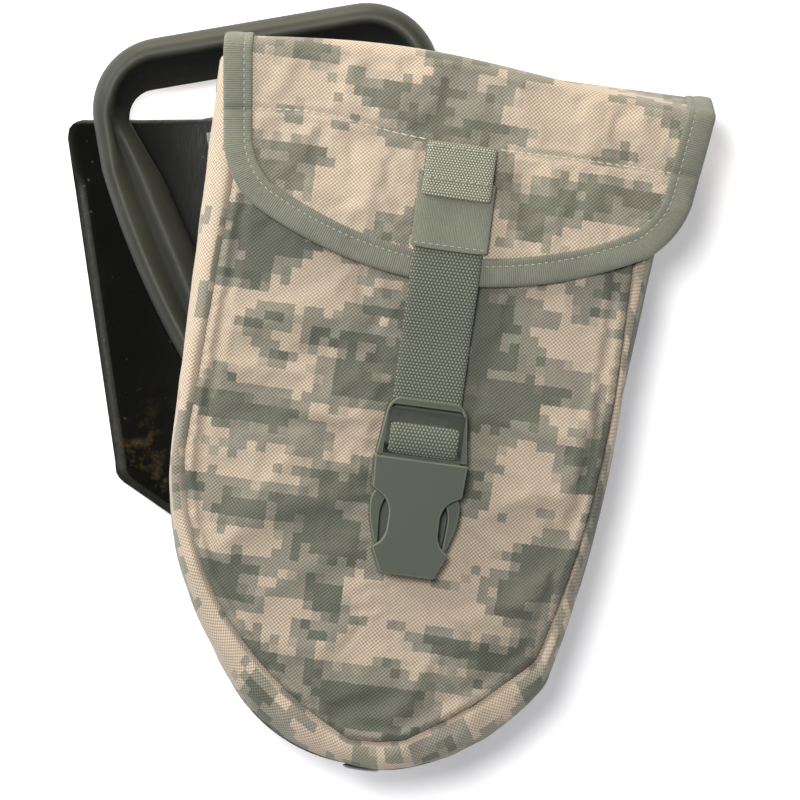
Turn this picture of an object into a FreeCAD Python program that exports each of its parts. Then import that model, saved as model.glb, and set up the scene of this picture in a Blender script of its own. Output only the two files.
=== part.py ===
import FreeCAD
import Part
import Sketcher
import math
import os
from types import SimpleNamespace

# Folding camp shovel with its carrying pouch laid on top of it.
# Units are millimetres. Row frame: X right, Y towards the grip, Z up from the ground.
# Shovel pieces are drawn in the shovel's own frame: Y along the shaft, 0 at the handle hinge.
# Pouch pieces are drawn in the pouch's own frame: Y along the pouch, 0 at its bottom seam.

DIMENSIONS = {
    # where the two groups lie in the row frame
    "shovel_x": -11.2,
    "shovel_y": -93.3,
    "shovel_turn": 9.7,
    "pouch_x": -4.1,
    "pouch_y": -141.5,
    "pouch_turn": -7.6,
    # shaft and hinges
    "shaft_height": 22.0,
    "hinge_span": 190.0,
    "hinge_pin_radius": 3.0,
    "pin_head_radius": 5.0,
    "pin_head_length": 2.0,
    "running_gap": 0.05,
    "link_radius": 5.0,
    "link_eye_radius": 8.5,
    "link_eye_width": 10.2,
    "link_rod_inset": 4.0,
    "tube_radius": 12.7,
    "tube_wall": 1.6,
    "tube_start": 21.0,
    "tube_end": 172.0,
    "bush_length": 8.0,
    "bush_inset": 3.0,
    # clamp nut and its thread
    "thread_radius": 15.0,
    "thread_start": 116.0,
    "thread_pitch": 3.0,
    "thread_depth": 0.9,
    "nut_radius": 19.2,
    "nut_bore": 15.3,
    "nut_start": 141.5,
    "nut_length": 26.0,
    "nut_flute_radius": 2.2,
    "nut_flutes": 16.0,
    "nut_flute_depth": 1.43,
    "washer_gap": 0.4,
    "washer_length": 2.4,
    "washer_radius": 18.0,
    # blade
    "blade_thickness": 2.0,
    "blade_shoulder_half": 76.2,
    "blade_shoulder_y": 209.1,
    "blade_throat_half": 4.0,
    "blade_throat_y": 197.3,
    "blade_corner_half": 79.4,
    "blade_corner_y": 74.0,
    "blade_tip_half": 7.0,
    "blade_tip_y": 2.0,
    "blade_flat_half": 26.0,
    "blade_edge_rise": 12.0,
    "blade_corner_radius": 7.0,
    "blade_tip_round": 12.0,
    # blade bracket
    "bracket_plate": 2.2,
    "bracket_start": 172.6,
    "bracket_end": 196.0,
    "bracket_half": 25.0,
    "bracket_ear": 4.4,
    "bracket_gap": 0.4,
    "bracket_ear_radius": 10.5,
    "bracket_ear_set": 3.0,
    "rivet_radius": 2.5,
    "rivet_head_radius": 4.2,
    "rivet_head_length": 1.8,
    "rivet_x": 18.0,
    "rivet_low_y": 178.0,
    "rivet_high_y": 191.0,
    # handle
    "handle_thickness": 18.0,
    "handle_end_y": 233.2,
    "grip_half": 38.2,
    "handle_half": 65.2,
    "handle_bend_y": 206.0,
    "handle_corner_bend": 27.0,
    "handle_waist_y": 188.0,
    "handle_mid_half": 45.7,
    "handle_mid_y": 108.0,
    "handle_side_bend": 330.0,
    "handle_foot_half": 22.0,
    "handle_foot_y": 22.0,
    "handle_heel_half": 17.5,
    "handle_heel_y": -9.5,
    "opening_top_y": 214.0,
    "opening_top_half": 42.0,
    "opening_corner_half": 51.6,
    "opening_corner_y": 204.0,
    "opening_corner_bend": 9.8,
    "opening_shoulder_half": 42.4,
    "opening_shoulder_y": 180.0,
    "opening_side_half": 34.4,
    "opening_side_y": 148.0,
    "opening_low_half": 13.6,
    "opening_low_y": 40.0,
    "opening_end_y": 17.0,
    "ear_gap_half": 5.5,
    "handle_edge_round": 5.0,
    "handle_groove_depth": 4.5,
    "handle_rim": 4.0,
    "handle_bead": 8.0,
    "groove_foot_inset": 6.0,
    "groove_foot_rise": 8.0,
    "groove_waist_inset": 9.0,
    "groove_waist_drop": 3.0,
    # pouch shell
    "cloth": 1.4,
    "pouch_back_level": 50.0,
    "pouch_foot_level": 0.8,
    "back_fold_x": 2.0,
    "back_foot_x": 58.0,
    "front_left_x": -85.0,
    "front_left_z": 82.0,
    "front_right_x": 68.0,
    "front_right_z": 70.0,
    "gusset_break_z": 52.0,
    "gusset_top_z": 84.0,
    "mouth_y": 246.0,
    "back_top_y": 261.4,
    "pouch_middle_y": 130.0,
    "wall_shrink": 0.980,
    "tape_shrink": 0.966,
    "lining_shrink": 0.955,
    "tape_width": 8.0,
    "layer_gap": 0.2,
    "lining_cloth": 1.0,
    "lining_low_y": 6.0,
    "lining_set": 1.0,
    "upstand_inset": 14.0,
    "binding_width": 9.0,
    "tape_cloth": 0.6,
    "mouth_tape_top": 1.0,
    "mouth_tape_inset": 3.0,
    # flap
    "flap_lift": 2.2,
    "flap_top_y": 261.4,
    "flap_wall_y": 259.8,
    "flap_root_z": 52.0,
    "flap_wall_left": 4.0,
    "flap_wall_right": 8.0,
    "flap_half": 89.0,
    "flap_corner_cut": 6.0,
    "flap_point_half": 0.5,
    "flap_shoulder_y": 254.0,
    "flap_waist_half": 84.6,
    "flap_waist_y": 221.0,
    "flap_curve_half": 72.0,
    "flap_curve_y": 201.0,
    "flap_curve_bend": 35.0,
    "flap_low_y": 181.5,
    "flap_low_bend": 155.0,
    "flap_lining_scale": 0.975,
    "flap_lining_drop": 2.4,
    "binding_outer": 1.018,
    "binding_inner": 0.9,
    "binding_slot": 1.004,
    "binding_slot_drop": 0.15,
    "binding_below": 1.9,
    "binding_above": 1.0,
    "binding_slot_below": 1.05,
    # closure strap
    "strap_x": -0.5,
    "strap_width": 25.4,
    "strap_thickness": 1.6,
    "strap_top_y": 229.0,
    "strap_rise_y": 194.0,
    "strap_crest_y": 191.0,
    "strap_fall_y": 177.0,
    "strap_rest_y": 158.0,
    "strap_flap_z": 3.8,
    "strap_edge_z": 5.0,
    "strap_low_z": 2.3,
    "anchor_low_y": 211.0,
    "anchor_top_y": 231.5,
    "cover_low_y": 192.5,
    "cover_top_y": 219.0,
    "cover_width": 28.4,
    "cover_thickness": 1.0,
    # side release buckle
    "buckle_half": 17.0,
    "frame_low_y": 116.7,
    "frame_top_y": 138.5,
    "frame_low_z": 4.2,
    "frame_high_z": 10.2,
    "frame_rail": 3.6,
    "frame_low_rail": 2.8,
    "frame_top_rail": 4.4,
    "frame_notch": 0.6,
    "frame_notch_depth": 1.0,
    "frame_bar_y": 125.3,
    "frame_bar_z": 7.2,
    "frame_bar_radius": 2.0,
    "roll_radius": 4.9,
    "prong_pivot_x": 11.6,
    "prong_pivot_y": 114.4,
    "prong_low_z": 4.9,
    "prong_high_z": 9.5,
    "prong_half": 1.7,
    "prong_tip_y": 81.5,
    "prong_tip_half": 1.5,
    "prong_bulge": 15.1,
    "prong_bulge_low_y": 88.0,
    "prong_bulge_high_y": 93.5,
    "prong_neck_y": 97.0,
    "socket_low_y": 73.8,
    "socket_high_y": 116.0,
    "socket_low_z": 2.2,
    "socket_high_z": 12.4,
    "socket_wall": 2.4,
    "socket_side": 2.7,
    "window_low_y": 84.0,
    "window_high_y": 103.0,
    "window_lip": 2.0,
    "window_slope": 3.0,
    "waist_half": 9.6,
    "socket_lip_half": 14.6,
    "socket_foot_half": 10.4,
    "tab_thickness": 1.6,
    "tab_slot_half": 8.0,
    "tab_slot_width": 2.2,
    "tab_lift": 0.4,
    "tab_high_y": 108.0,
    "tab_low_y": 77.0,
    # drain eyelet and back webbing
    "eyelet_x": -6.5,
    "eyelet_z": 62.0,
    "eyelet_bore": 3.6,
    "eyelet_barrel": 4.6,
    "eyelet_flange": 7.0,
    "eyelet_flange_length": 1.0,
    "eyelet_wall_y": 4.43,
    "eyelet_tilt": 18.4,
    "eyelet_face": -1.15,
    "eyelet_length": 9.0,
    "sewn_gap": 0.1,
    "loop_slope": 2.0,
    "loop_width": 25.4,
    "loop_low_y": 120.0,
    "loop_high_y": 192.0,
    "loop_sewn": 12.0,
    "loop_stand": 2.2,
    "loop_left_x": -66.0,
    "loop_right_x": -20.0,
    "carry_tape_low_y": 240.0,
    "carry_tape_high_y": 252.0,
    "carry_tape_left_x": -92.5,
}

# Plans of the pouch at its widest and at its front seam, from the top left corner down and round.
# Each corner is x, y and the radius of the arc that follows it, or None for a straight run.
OUTLINES = {
    "side": [
        (-91.0, 261.4, None), (-90.0, 108.0, 123.0), (-65.0, 38.0, 59.0), (-13.0, 2.0, 50.0),
        (13.0, 3.6, 68.0), (56.0, 41.0, 458.0), (70.0, 150.0, None), (80.0, 261.4, None),
    ],
    "seam": [
        (-79.0, 261.4, None), (-85.5, 108.0, 109.0), (-60.0, 47.0, 143.0), (-13.0, 12.0, 60.0),
        (8.0, 14.0, 200.0), (52.0, 49.0, 392.0), (68.0, 160.0, None), (68.0, 261.4, None),
    ],
}


def name_outlines():
    """Give every outline number its own line in the table of dimensions."""
    for name, corners in OUTLINES.items():
        for i, (x, y, bend) in enumerate(corners):
            DIMENSIONS["%s_x%d" % (name, i)] = x
            DIMENSIONS["%s_y%d" % (name, i)] = y
            if bend is not None:
                DIMENSIONS["%s_bend%d" % (name, i)] = bend


name_outlines()


class Size:
    """A length together with the spreadsheet formula that gives it."""

    def __init__(self, value, formula):
        self.value = float(value)
        self.formula = formula

    def join(self, other, sign, value):
        other = as_size(other)
        return Size(value, "(%s %s %s)" % (self.formula, sign, other.formula))

    def __add__(self, other):
        return self.join(other, "+", self.value + as_size(other).value)

    def __radd__(self, other):
        return as_size(other) + self

    def __sub__(self, other):
        return self.join(other, "-", self.value - as_size(other).value)

    def __rsub__(self, other):
        return as_size(other) - self

    def __mul__(self, other):
        return self.join(other, "*", self.value * as_size(other).value)

    def __rmul__(self, other):
        return as_size(other) * self

    def __truediv__(self, other):
        return self.join(other, "/", self.value / as_size(other).value)

    def __neg__(self):
        return Size(-self.value, "(0 - %s)" % self.formula)


def as_size(number):
    if isinstance(number, Size):
        return number
    return Size(number, "%.6g" % number if number >= 0 else "(0 - %.6g)" % -number)


def make_sheet(document):
    sheet = document.addObject("Spreadsheet::Sheet", "dims")
    for row, (alias, number) in enumerate(DIMENSIONS.items(), start=1):
        sheet.set("A%d" % row, alias)
        sheet.set("B%d" % row, str(number))
        sheet.setAlias("B%d" % row, alias)
    document.recompute()
    return SimpleNamespace(**{a: Size(sheet.get(a), "dims." + a) for a in DIMENSIONS})


doc = FreeCAD.newDocument("camp_shovel")
d = make_sheet(doc)


# ---------------------------------------------------------------- helpers

FAR = 130   # past the edge of every piece, for tools that cut right through

def bind(target, name, size):
    """Give a property its value and tie it to the spreadsheet."""
    size = as_size(size)
    setattr(target, name, size.value)
    target.setExpression(name, size.formula)


def bind_position(target, x, y, z):
    """Tie an object's position to the spreadsheet."""
    sizes = [as_size(x), as_size(y), as_size(z)]
    rotation = target.Placement.Rotation
    target.Placement = FreeCAD.Placement(FreeCAD.Vector(*[s.value for s in sizes]), rotation)
    for axis, size in zip("xyz", sizes):
        target.setExpression("Placement.Base." + axis, size.formula)


def turned(target, axis, angle):
    """Turn an object about an axis through its own origin."""
    base = target.Placement.Base
    target.Placement = FreeCAD.Placement(base, FreeCAD.Rotation(FreeCAD.Vector(*axis), angle))
    return target


def finish(target, label, frame):
    """Name a finished piece and put it into the shovel's or the pouch's frame."""
    if target.isDerivedFrom("Part::Primitive"):
        target = gather(label + "_piece", [target])
    target.Label = label
    if frame == "shovel":
        turned(target, (0, 0, 1), d.shovel_turn.value)
        bind_position(target, d.shovel_x, d.shovel_y, 0)
    elif frame == "pouch":
        turned(target, (0, 0, 1), d.pouch_turn.value)
        bind_position(target, d.pouch_x, d.pouch_y, 0)
    elif frame == "front":
        pouch = FreeCAD.Rotation(FreeCAD.Vector(0, 0, 1), d.pouch_turn.value)
        roll = FreeCAD.Rotation(FreeCAD.Vector(0, 1, 0), front_roll())
        target.Placement = FreeCAD.Placement(target.Placement.Base, pouch * roll)
        bind_position(target, d.pouch_x, d.pouch_y, front_height(0))
    PIECES.append(target)
    return target


PIECES = []


def gather(name, shapes):
    """Separate solids kept together as one piece."""
    group = doc.addObject("Part::Compound", name)
    group.Links = shapes
    return group


def front_height(x):
    """Height of the pouch's front face at x in the pouch's frame."""
    slope = (d.front_right_z - d.front_left_z) / (d.front_right_x - d.front_left_x)
    return d.front_left_z + (x - d.front_left_x) * slope


def front_roll():
    run = d.front_right_x.value - d.front_left_x.value
    return math.degrees(math.atan2(d.front_left_z.value - d.front_right_z.value, run))


def segment_geometry(start, end, bend):
    """A straight line, or an arc whose radius is the bend (positive: centre on the left)."""
    a = FreeCAD.Vector(start[0].value, start[1].value, 0)
    b = FreeCAD.Vector(end[0].value, end[1].value, 0)
    if bend is None:
        return Part.LineSegment(a, b), False
    radius = abs(bend.value)
    chord = b - a
    left = FreeCAD.Vector(-chord.y, chord.x, 0).normalize()
    side = 1 if bend.value > 0 else -1
    reach = math.sqrt(radius ** 2 - (chord.Length / 2) ** 2)
    centre = (a + b) / 2 + left * side * reach
    first, last = (a, b) if side > 0 else (b, a)
    angles = [math.atan2(p.y - centre.y, p.x - centre.x) for p in (first, last)]
    if angles[1] < angles[0]:
        angles[1] += 2 * math.pi
    circle = Part.Circle(centre, FreeCAD.Vector(0, 0, 1), radius)
    return Part.ArcOfCircle(circle, angles[0], angles[1]), side < 0


def dimension(sketch, kind, geometry, point, size):
    """A dimension constraint from the sketch's origin, tied to the spreadsheet."""
    size = as_size(size)
    if kind == "Radius":
        constraint = Sketcher.Constraint(kind, geometry, size.value)
    else:
        constraint = Sketcher.Constraint(kind, -1, 1, geometry, point, size.value)
    index = sketch.addConstraint(constraint)
    sketch.setExpression("Constraints[%d]" % index, size.formula)


def draw(sketch, corners, bends=None):
    """Draw a closed outline. bends maps a corner's number to the radius of the arc after it."""
    bends = bends or {}
    corners = [(as_size(x), as_size(y)) for x, y in corners]
    count = len(corners)
    first = sketch.GeometryCount
    ends = []
    for i in range(count):
        bend = as_size(bends[i]) if i in bends else None
        geometry, backwards = segment_geometry(corners[i], corners[(i + 1) % count], bend)
        sketch.addGeometry(geometry)
        ends.append((2, 1) if backwards else (1, 2))
    for i in range(count):
        follower = (i + 1) % count
        sketch.addConstraint(
            Sketcher.Constraint("Coincident", first + i, ends[i][1], first + follower, ends[follower][0])
        )
    for i in range(count):
        dimension(sketch, "DistanceX", first + i, ends[i][0], corners[i][0])
        dimension(sketch, "DistanceY", first + i, ends[i][0], corners[i][1])
        if i in bends:
            size = as_size(bends[i])
            dimension(sketch, "Radius", first + i, 0, size if size.value > 0 else -size)
    return sketch


def draw_circle(sketch, x, y, radius):
    x, y, radius = as_size(x), as_size(y), as_size(radius)
    centre = FreeCAD.Vector(x.value, y.value, 0)
    index = sketch.addGeometry(Part.Circle(centre, FreeCAD.Vector(0, 0, 1), radius.value))
    dimension(sketch, "DistanceX", index, 3, x)
    dimension(sketch, "DistanceY", index, 3, y)
    dimension(sketch, "Radius", index, 0, radius)
    return sketch


def mirrored(corners):
    """The right-hand corners, then the same ones on the left in reverse."""
    left = [(-as_size(x), y) for x, y in reversed(corners)]
    return list(corners) + left


def origin_feature(body, role):
    return [f for f in body.Origin.OriginFeatures if f.Role == role][0]


def new_body(name):
    return doc.addObject("PartDesign::Body", name)


def body_sketch(body, role, name):
    sketch = body.newObject("Sketcher::SketchObject", name)
    sketch.AttachmentSupport = [(origin_feature(body, role), "")]
    sketch.MapMode = "FlatFace"
    return sketch


def pad(body, sketch, length, midplane=False, low=None):
    feature = body.newObject("PartDesign::Pad", sketch.Name + "_pad")
    feature.Profile = sketch
    bind(feature, "Length", length)
    if midplane:
        feature.SideType = "Symmetric"
    if low is not None:
        lift(sketch, low)
    sketch.Visibility = False
    doc.recompute()
    return feature


def lift(sketch, height):
    """Move an attached sketch along its plane's normal."""
    height = as_size(height)
    sketch.AttachmentOffset = FreeCAD.Placement(FreeCAD.Vector(0, 0, height.value), FreeCAD.Rotation())
    sketch.setExpression("AttachmentOffset.Base.z", height.formula)


def pocket(body, sketch, length=None, midplane=True):
    feature = body.newObject("PartDesign::Pocket", sketch.Name + "_pocket")
    feature.Profile = sketch
    if length is None:
        feature.Type = "ThroughAll"
    else:
        bind(feature, "Length", length)
    if midplane:
        feature.SideType = "Symmetric"
    doc.recompute()
    return feature


def round_edges(body, radius, chosen):
    """Fillet the edges of the body's tip that the chosen test accepts."""
    base = body.Tip
    names = ["Edge%d" % (i + 1) for i, edge in enumerate(base.Shape.Edges) if chosen(edge)]
    feature = body.newObject("PartDesign::Fillet", body.Name + "_round")
    feature.Base = (base, names)
    bind(feature, "Radius", radius)
    doc.recompute()
    return feature


def stands_upright(edge):
    box = edge.BoundBox
    return box.ZLength > 0.5 and box.XLength < 1e-6 and box.YLength < 1e-6


def free_sketch(name, plane="XY"):
    """A sketch outside any body. XZ draws x across and z up; YZ draws y across and z up."""
    sketch = doc.addObject("Sketcher::SketchObject", name)
    if plane == "XZ":
        sketch.Placement.Rotation = FreeCAD.Rotation(FreeCAD.Vector(1, 0, 0), 90)
    if plane == "YZ":
        sketch.Placement.Rotation = FreeCAD.Rotation(FreeCAD.Vector(1, 1, 1), 120)
    return sketch


def extrude(sketch, direction, start, end):
    """Extrude a sketch along a direction, from one distance to another."""
    feature = doc.addObject("Part::Extrusion", sketch.Name + "_solid")
    feature.Base = sketch
    feature.DirMode = "Custom"
    feature.Dir = FreeCAD.Vector(*direction)
    feature.Solid = True
    bind(feature, "LengthFwd", end)
    bind(feature, "LengthRev", -as_size(start))
    return feature


def combine(kind, name, shapes):
    """A Part boolean: Cut takes two shapes, MultiCommon and MultiFuse take a list."""
    feature = doc.addObject("Part::" + kind, name)
    if kind == "Cut":
        feature.Base, feature.Tool = shapes
    else:
        feature.Shapes = shapes
    return feature


def cylinder(name, axis, radius, start, end, x=0, y=0, z=0):
    """A cylinder along axis X, Y or Z, from start to end on that axis."""
    feature = doc.addObject("Part::Cylinder", name)
    bind(feature, "Radius", radius)
    bind(feature, "Height", as_size(end) - start)
    turns = {"X": ((0, 1, 0), 90), "Y": ((1, 0, 0), -90), "Z": ((0, 0, 1), 0)}
    turned(feature, *turns[axis])
    places = {"X": (start, y, z), "Y": (x, start, z), "Z": (x, y, start)}
    bind_position(feature, *places[axis])
    return feature


def block(name, low, high):
    """A box between two corners."""
    feature = doc.addObject("Part::Box", name)
    for label, a, b in zip(("Length", "Width", "Height"), low, high):
        bind(feature, label, as_size(b) - a)
    bind_position(feature, *low)
    return feature


def ring(name, outer, inner, start, end, z):
    """A plain ring on the shaft's axis."""
    return combine("Cut", name, (
        cylinder(name + "_outside", "Y", outer, start, end, z=z),
        cylinder(name + "_inside", "Y", inner, as_size(start) - 1, as_size(end) + 1, z=z),
    ))


# ---------------------------------------------------------------- shaft

def make_inner_link():
    z = d.shaft_height
    half = d.link_eye_width / 2
    rod = cylinder("link_rod", "Y", d.link_radius, d.link_rod_inset, d.hinge_span - d.link_rod_inset, z=z)
    ends = (0, d.hinge_span)
    eyes = [cylinder("link_eye", "X", d.link_eye_radius, -half, half, y=y, z=z) for y in ends]
    solid = combine("MultiFuse", "link_solid", [rod] + eyes)
    bore = d.hinge_pin_radius + d.running_gap
    holes = [cylinder("link_hole", "X", bore, -20, 20, y=y, z=z) for y in ends]
    link = combine("Cut", "link", (solid, combine("MultiFuse", "link_holes", holes)))
    finish(link, "inner_link", "shovel")


def make_shaft_tube():
    inner = d.tube_radius - d.tube_wall
    tube = ring("tube", d.tube_radius, inner, d.tube_start, d.tube_end, d.shaft_height)
    finish(tube, "shaft_tube", "shovel")


def make_guide_bushes():
    outer = d.tube_radius - d.tube_wall - d.running_gap
    inner = d.link_radius + d.running_gap
    low = d.tube_start + d.bush_inset
    high = d.tube_end - d.bush_inset - d.bush_length
    rings = [ring("bush", outer, inner, y, y + d.bush_length, d.shaft_height) for y in (low, high)]
    finish(gather("bushes", rings), "guide_bushes", "shovel")


def make_threaded_sleeve():
    inner = d.tube_radius + d.running_gap
    sleeve = ring("sleeve", d.thread_radius, inner, d.thread_start, d.tube_end, d.shaft_height)
    count = int((d.tube_end.value - d.thread_start.value - 6) / d.thread_pitch.value)
    root = d.thread_radius - d.thread_depth
    grooves = []
    for i in range(count):
        y = d.thread_start + 3 + d.thread_pitch * i
        grooves.append(ring("groove", d.thread_radius + 1, root, y, y + d.thread_pitch / 2, d.shaft_height))
    cut = combine("MultiFuse", "grooves", grooves)
    finish(combine("Cut", "threaded", (sleeve, cut)), "threaded_sleeve", "shovel")


def make_lock_nut():
    body = new_body("nut")
    sketch = body_sketch(body, "XZ_Plane", "nut_profile")
    draw_circle(sketch, 0, 0, d.nut_radius)
    draw_circle(sketch, 0, 0, d.nut_bore)
    pad(body, sketch, d.nut_length)
    flute = body_sketch(body, "XZ_Plane", "nut_flute")
    draw_circle(flute, d.nut_radius + d.nut_flute_radius - d.nut_flute_depth, 0, d.nut_flute_radius)
    cut = pocket(body, flute)
    pattern = body.newObject("PartDesign::PolarPattern", "nut_flutes")
    pattern.Originals = [cut]
    pattern.Axis = (origin_feature(body, "Y_Axis"), [""])
    pattern.Angle = 360
    pattern.Occurrences = int(d.nut_flutes.value)
    body.Tip = pattern
    doc.recompute()
    place_on_shaft(body, "lock_nut", d.nut_start + d.nut_length)


def place_on_shaft(body, label, y):
    """Put a piece drawn about its own Y axis on to the shaft at y in the shovel's frame."""
    body.Label = label
    angle = math.radians(d.shovel_turn.value)
    turned(body, (0, 0, 1), d.shovel_turn.value)
    bind_position(body, d.shovel_x - y * math.sin(angle), d.shovel_y + y * math.cos(angle), d.shaft_height)
    PIECES.append(body)


def make_thrust_washer():
    start = d.nut_start + d.nut_length + d.washer_gap
    washer = ring("washer", d.washer_radius, d.nut_bore, start, start + d.washer_length, d.shaft_height)
    finish(washer, "thrust_washer", "shovel")


def make_hinge_pin(label, y, reach):
    """A pin across the shaft with a head on each end beyond the reach."""
    z, head = d.shaft_height, d.pin_head_radius
    shank = cylinder(label + "_shank", "X", d.hinge_pin_radius, -reach, reach, y=y, z=z)
    far = reach + d.pin_head_length
    left = cylinder(label + "_left", "X", head, -far, -reach, y=y, z=z)
    right = cylinder(label + "_right", "X", head, reach, far, y=y, z=z)
    finish(combine("MultiFuse", label + "_all", [shank, left, right]), label, "shovel")


# ---------------------------------------------------------------- blade

def dish_profile():
    """The blade's cross-section: a flat middle that curls up to both edges."""
    edge = d.blade_corner_half + 1
    run = edge.value - d.blade_flat_half.value
    height = d.blade_edge_rise.value
    radius = as_size((run ** 2 + height ** 2) / (2 * height))
    sketch = free_sketch("dish", "XZ")
    rise = d.blade_edge_rise
    lower = [(-edge, rise), (-d.blade_flat_half, 0), (d.blade_flat_half, 0), (edge, rise)]
    upper = [(x, z + d.blade_thickness) for x, z in reversed(lower)]
    draw(sketch, lower + upper, {0: radius, 2: radius, 4: -radius, 6: -radius})
    return sketch


def make_blade():
    sketch = free_sketch("blade_outline")
    draw(sketch, mirrored([
        (d.blade_tip_half, d.blade_tip_y),
        (d.blade_corner_half, d.blade_corner_y),
        (d.blade_shoulder_half, d.blade_shoulder_y),
        (d.blade_throat_half, d.blade_throat_y),
    ]))
    plan = extrude(sketch, (0, 0, 1), -1, 40)
    doc.recompute()
    rounded = doc.addObject("Part::Fillet", "blade_plan_round")
    rounded.Base = plan
    wanted = []
    for i, edge in enumerate(plan.Shape.Edges):
        if not stands_upright(edge):
            continue
        if abs(edge.CenterOfMass.x) > d.blade_flat_half.value:
            wanted.append((i + 1, d.blade_corner_radius.value, d.blade_corner_radius.value))
        elif edge.CenterOfMass.y < d.blade_corner_y.value:
            wanted.append((i + 1, d.blade_tip_round.value, d.blade_tip_round.value))
    rounded.Edges = wanted
    dish = extrude(dish_profile(), (0, 1, 0), -5, 230)
    sheet = combine("MultiCommon", "blade_sheet", [rounded, dish])
    holes = combine("MultiFuse", "blade_holes", rivet_cylinders("blade_hole", d.running_gap, -1, 8))
    finish(combine("Cut", "blade_cut", (sheet, holes)), "blade", "shovel")


def rivet_places():
    return [(side * d.rivet_x, y) for side in (-1, 1) for y in (d.rivet_low_y, d.rivet_high_y)]


def rivet_cylinders(name, gap, low, high):
    return [cylinder(name, "Z", d.rivet_radius + gap, low, high, x=x, y=y) for x, y in rivet_places()]


def make_blade_bracket():
    base = d.blade_thickness + 0.02
    top = base + d.bracket_plate
    half, low_y, high_y = d.bracket_half, d.bracket_start, d.bracket_end
    plate = block("bracket_plate", (-half, low_y, base), (half, high_y, top))
    inner = d.link_eye_width / 2 + d.bracket_gap
    outer = inner + d.bracket_ear
    ears = []
    for name, low, high in (("left", -outer, -inner), ("right", inner, outer)):
        y = d.hinge_span
        head = cylinder("ear_head_" + name, "X", d.bracket_ear_radius, low, high, y=y, z=d.shaft_height)
        stem_low = (low, low_y + d.bracket_ear_set, base)
        stem = block("ear_stem_" + name, stem_low, (high, high_y, d.shaft_height))
        ears += [head, stem]
    solid = combine("MultiFuse", "bracket_solid", [plate] + ears)
    holes = rivet_cylinders("bracket_hole", d.running_gap, -1, 8)
    bore = d.hinge_pin_radius + d.running_gap
    holes.append(cylinder("bracket_bore", "X", bore, -30, 30, y=d.hinge_span, z=d.shaft_height))
    bracket = combine("Cut", "bracket", (solid, combine("MultiFuse", "bracket_holes", holes)))
    finish(bracket, "blade_bracket", "shovel")


def make_blade_rivets():
    top = d.blade_thickness + d.bracket_plate + 0.03
    rivets = []
    for x, y in rivet_places():
        shank = cylinder("rivet_shank", "Z", d.rivet_radius, 0.1, top, x=x, y=y)
        head = cylinder("rivet_head", "Z", d.rivet_head_radius, top, top + d.rivet_head_length, x=x, y=y)
        rivets.append(combine("MultiFuse", "rivet", [shank, head]))
    finish(gather("rivets", rivets), "blade_rivets", "shovel")


# ---------------------------------------------------------------- handle

def handle_outside():
    right = [
        (d.handle_heel_half, d.handle_heel_y),
        (d.handle_foot_half, d.handle_foot_y),
        (d.handle_mid_half, d.handle_mid_y),
        (d.handle_half, d.handle_waist_y),
        (d.handle_half, d.handle_bend_y),
        (d.grip_half, d.handle_end_y),
    ]
    side, corner = d.handle_side_bend, d.handle_corner_bend
    return mirrored(right), {2: side, 4: corner, 6: corner, 8: side}


def handle_opening():
    right = [
        (d.ear_gap_half, d.handle_heel_y - 5),
        (d.ear_gap_half, d.opening_end_y),
        (d.opening_low_half, d.opening_end_y),
        (d.opening_low_half, d.opening_low_y),
        (d.opening_side_half, d.opening_side_y),
        (d.opening_shoulder_half, d.opening_shoulder_y),
        (d.opening_corner_half, d.opening_corner_y),
        (d.opening_top_half, d.opening_top_y),
    ]
    return mirrored(right), {6: d.opening_corner_bend, 8: d.opening_corner_bend}


def groove_outline(side):
    """The recess between the outer bead and the inner rim of one arm."""
    corners = [
        (side * (d.opening_low_half + d.groove_foot_inset), d.opening_low_y + d.groove_foot_rise),
        (side * (d.opening_side_half + d.handle_rim), d.opening_side_y),
        (side * (d.opening_shoulder_half + d.handle_rim), d.opening_shoulder_y),
        (side * (d.handle_half - d.groove_waist_inset), d.handle_waist_y - d.groove_waist_drop),
        (side * (d.handle_mid_half - d.handle_bead), d.handle_mid_y),
    ]
    return corners


def make_d_handle():
    body = new_body("dhandle")
    outside = body_sketch(body, "XY_Plane", "handle_outside")
    draw(outside, *handle_outside())
    pad(body, outside, d.handle_thickness, midplane=True)

    def outer_rim(edge):
        box = edge.BoundBox
        flat = box.ZLength < 1e-6
        return flat and edge.CenterOfMass.y > d.handle_foot_y.value - 15

    round_edges(body, d.handle_edge_round, outer_rim)
    opening = body_sketch(body, "XY_Plane", "handle_opening")
    draw(opening, *handle_opening())
    pocket(body, opening)
    for side in (-1, 1):
        for face, name in ((1, "top"), (-1, "bottom")):
            recess = body_sketch(body, "XY_Plane", "recess_%s_%d" % (name, side + 1))
            draw(recess, groove_outline(side))
            lift(recess, face * d.handle_thickness / 2)
            pocket(body, recess, d.handle_groove_depth * 2)
    bore = body_sketch(body, "YZ_Plane", "handle_bore")
    draw_circle(bore, 0, 0, d.hinge_pin_radius + d.running_gap)
    pocket(body, bore)
    body.Label = "d_handle"
    turned(body, (0, 0, 1), d.shovel_turn.value)
    bind_position(body, d.shovel_x, d.shovel_y, d.shaft_height)
    PIECES.append(body)


# ---------------------------------------------------------------- pouch shell

def outline(name):
    """Corners and bends of one of the pouch's plans."""
    numbers = range(len(OUTLINES[name]))
    corners = [(getattr(d, "%s_x%d" % (name, i)), getattr(d, "%s_y%d" % (name, i))) for i in numbers]
    bent = [i for i in numbers if OUTLINES[name][i][2] is not None]
    return corners, {i: getattr(d, "%s_bend%d" % (name, i)) for i in bent}


def shrunk(plan, factor):
    """The same outline, drawn smaller about the middle of the pouch."""
    corners, bends = plan
    middle = d.pouch_middle_y
    small = [(factor * x, middle + factor * (as_size(y) - middle)) for x, y in corners]
    return small, {i: factor * bend for i, bend in bends.items()}


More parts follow.
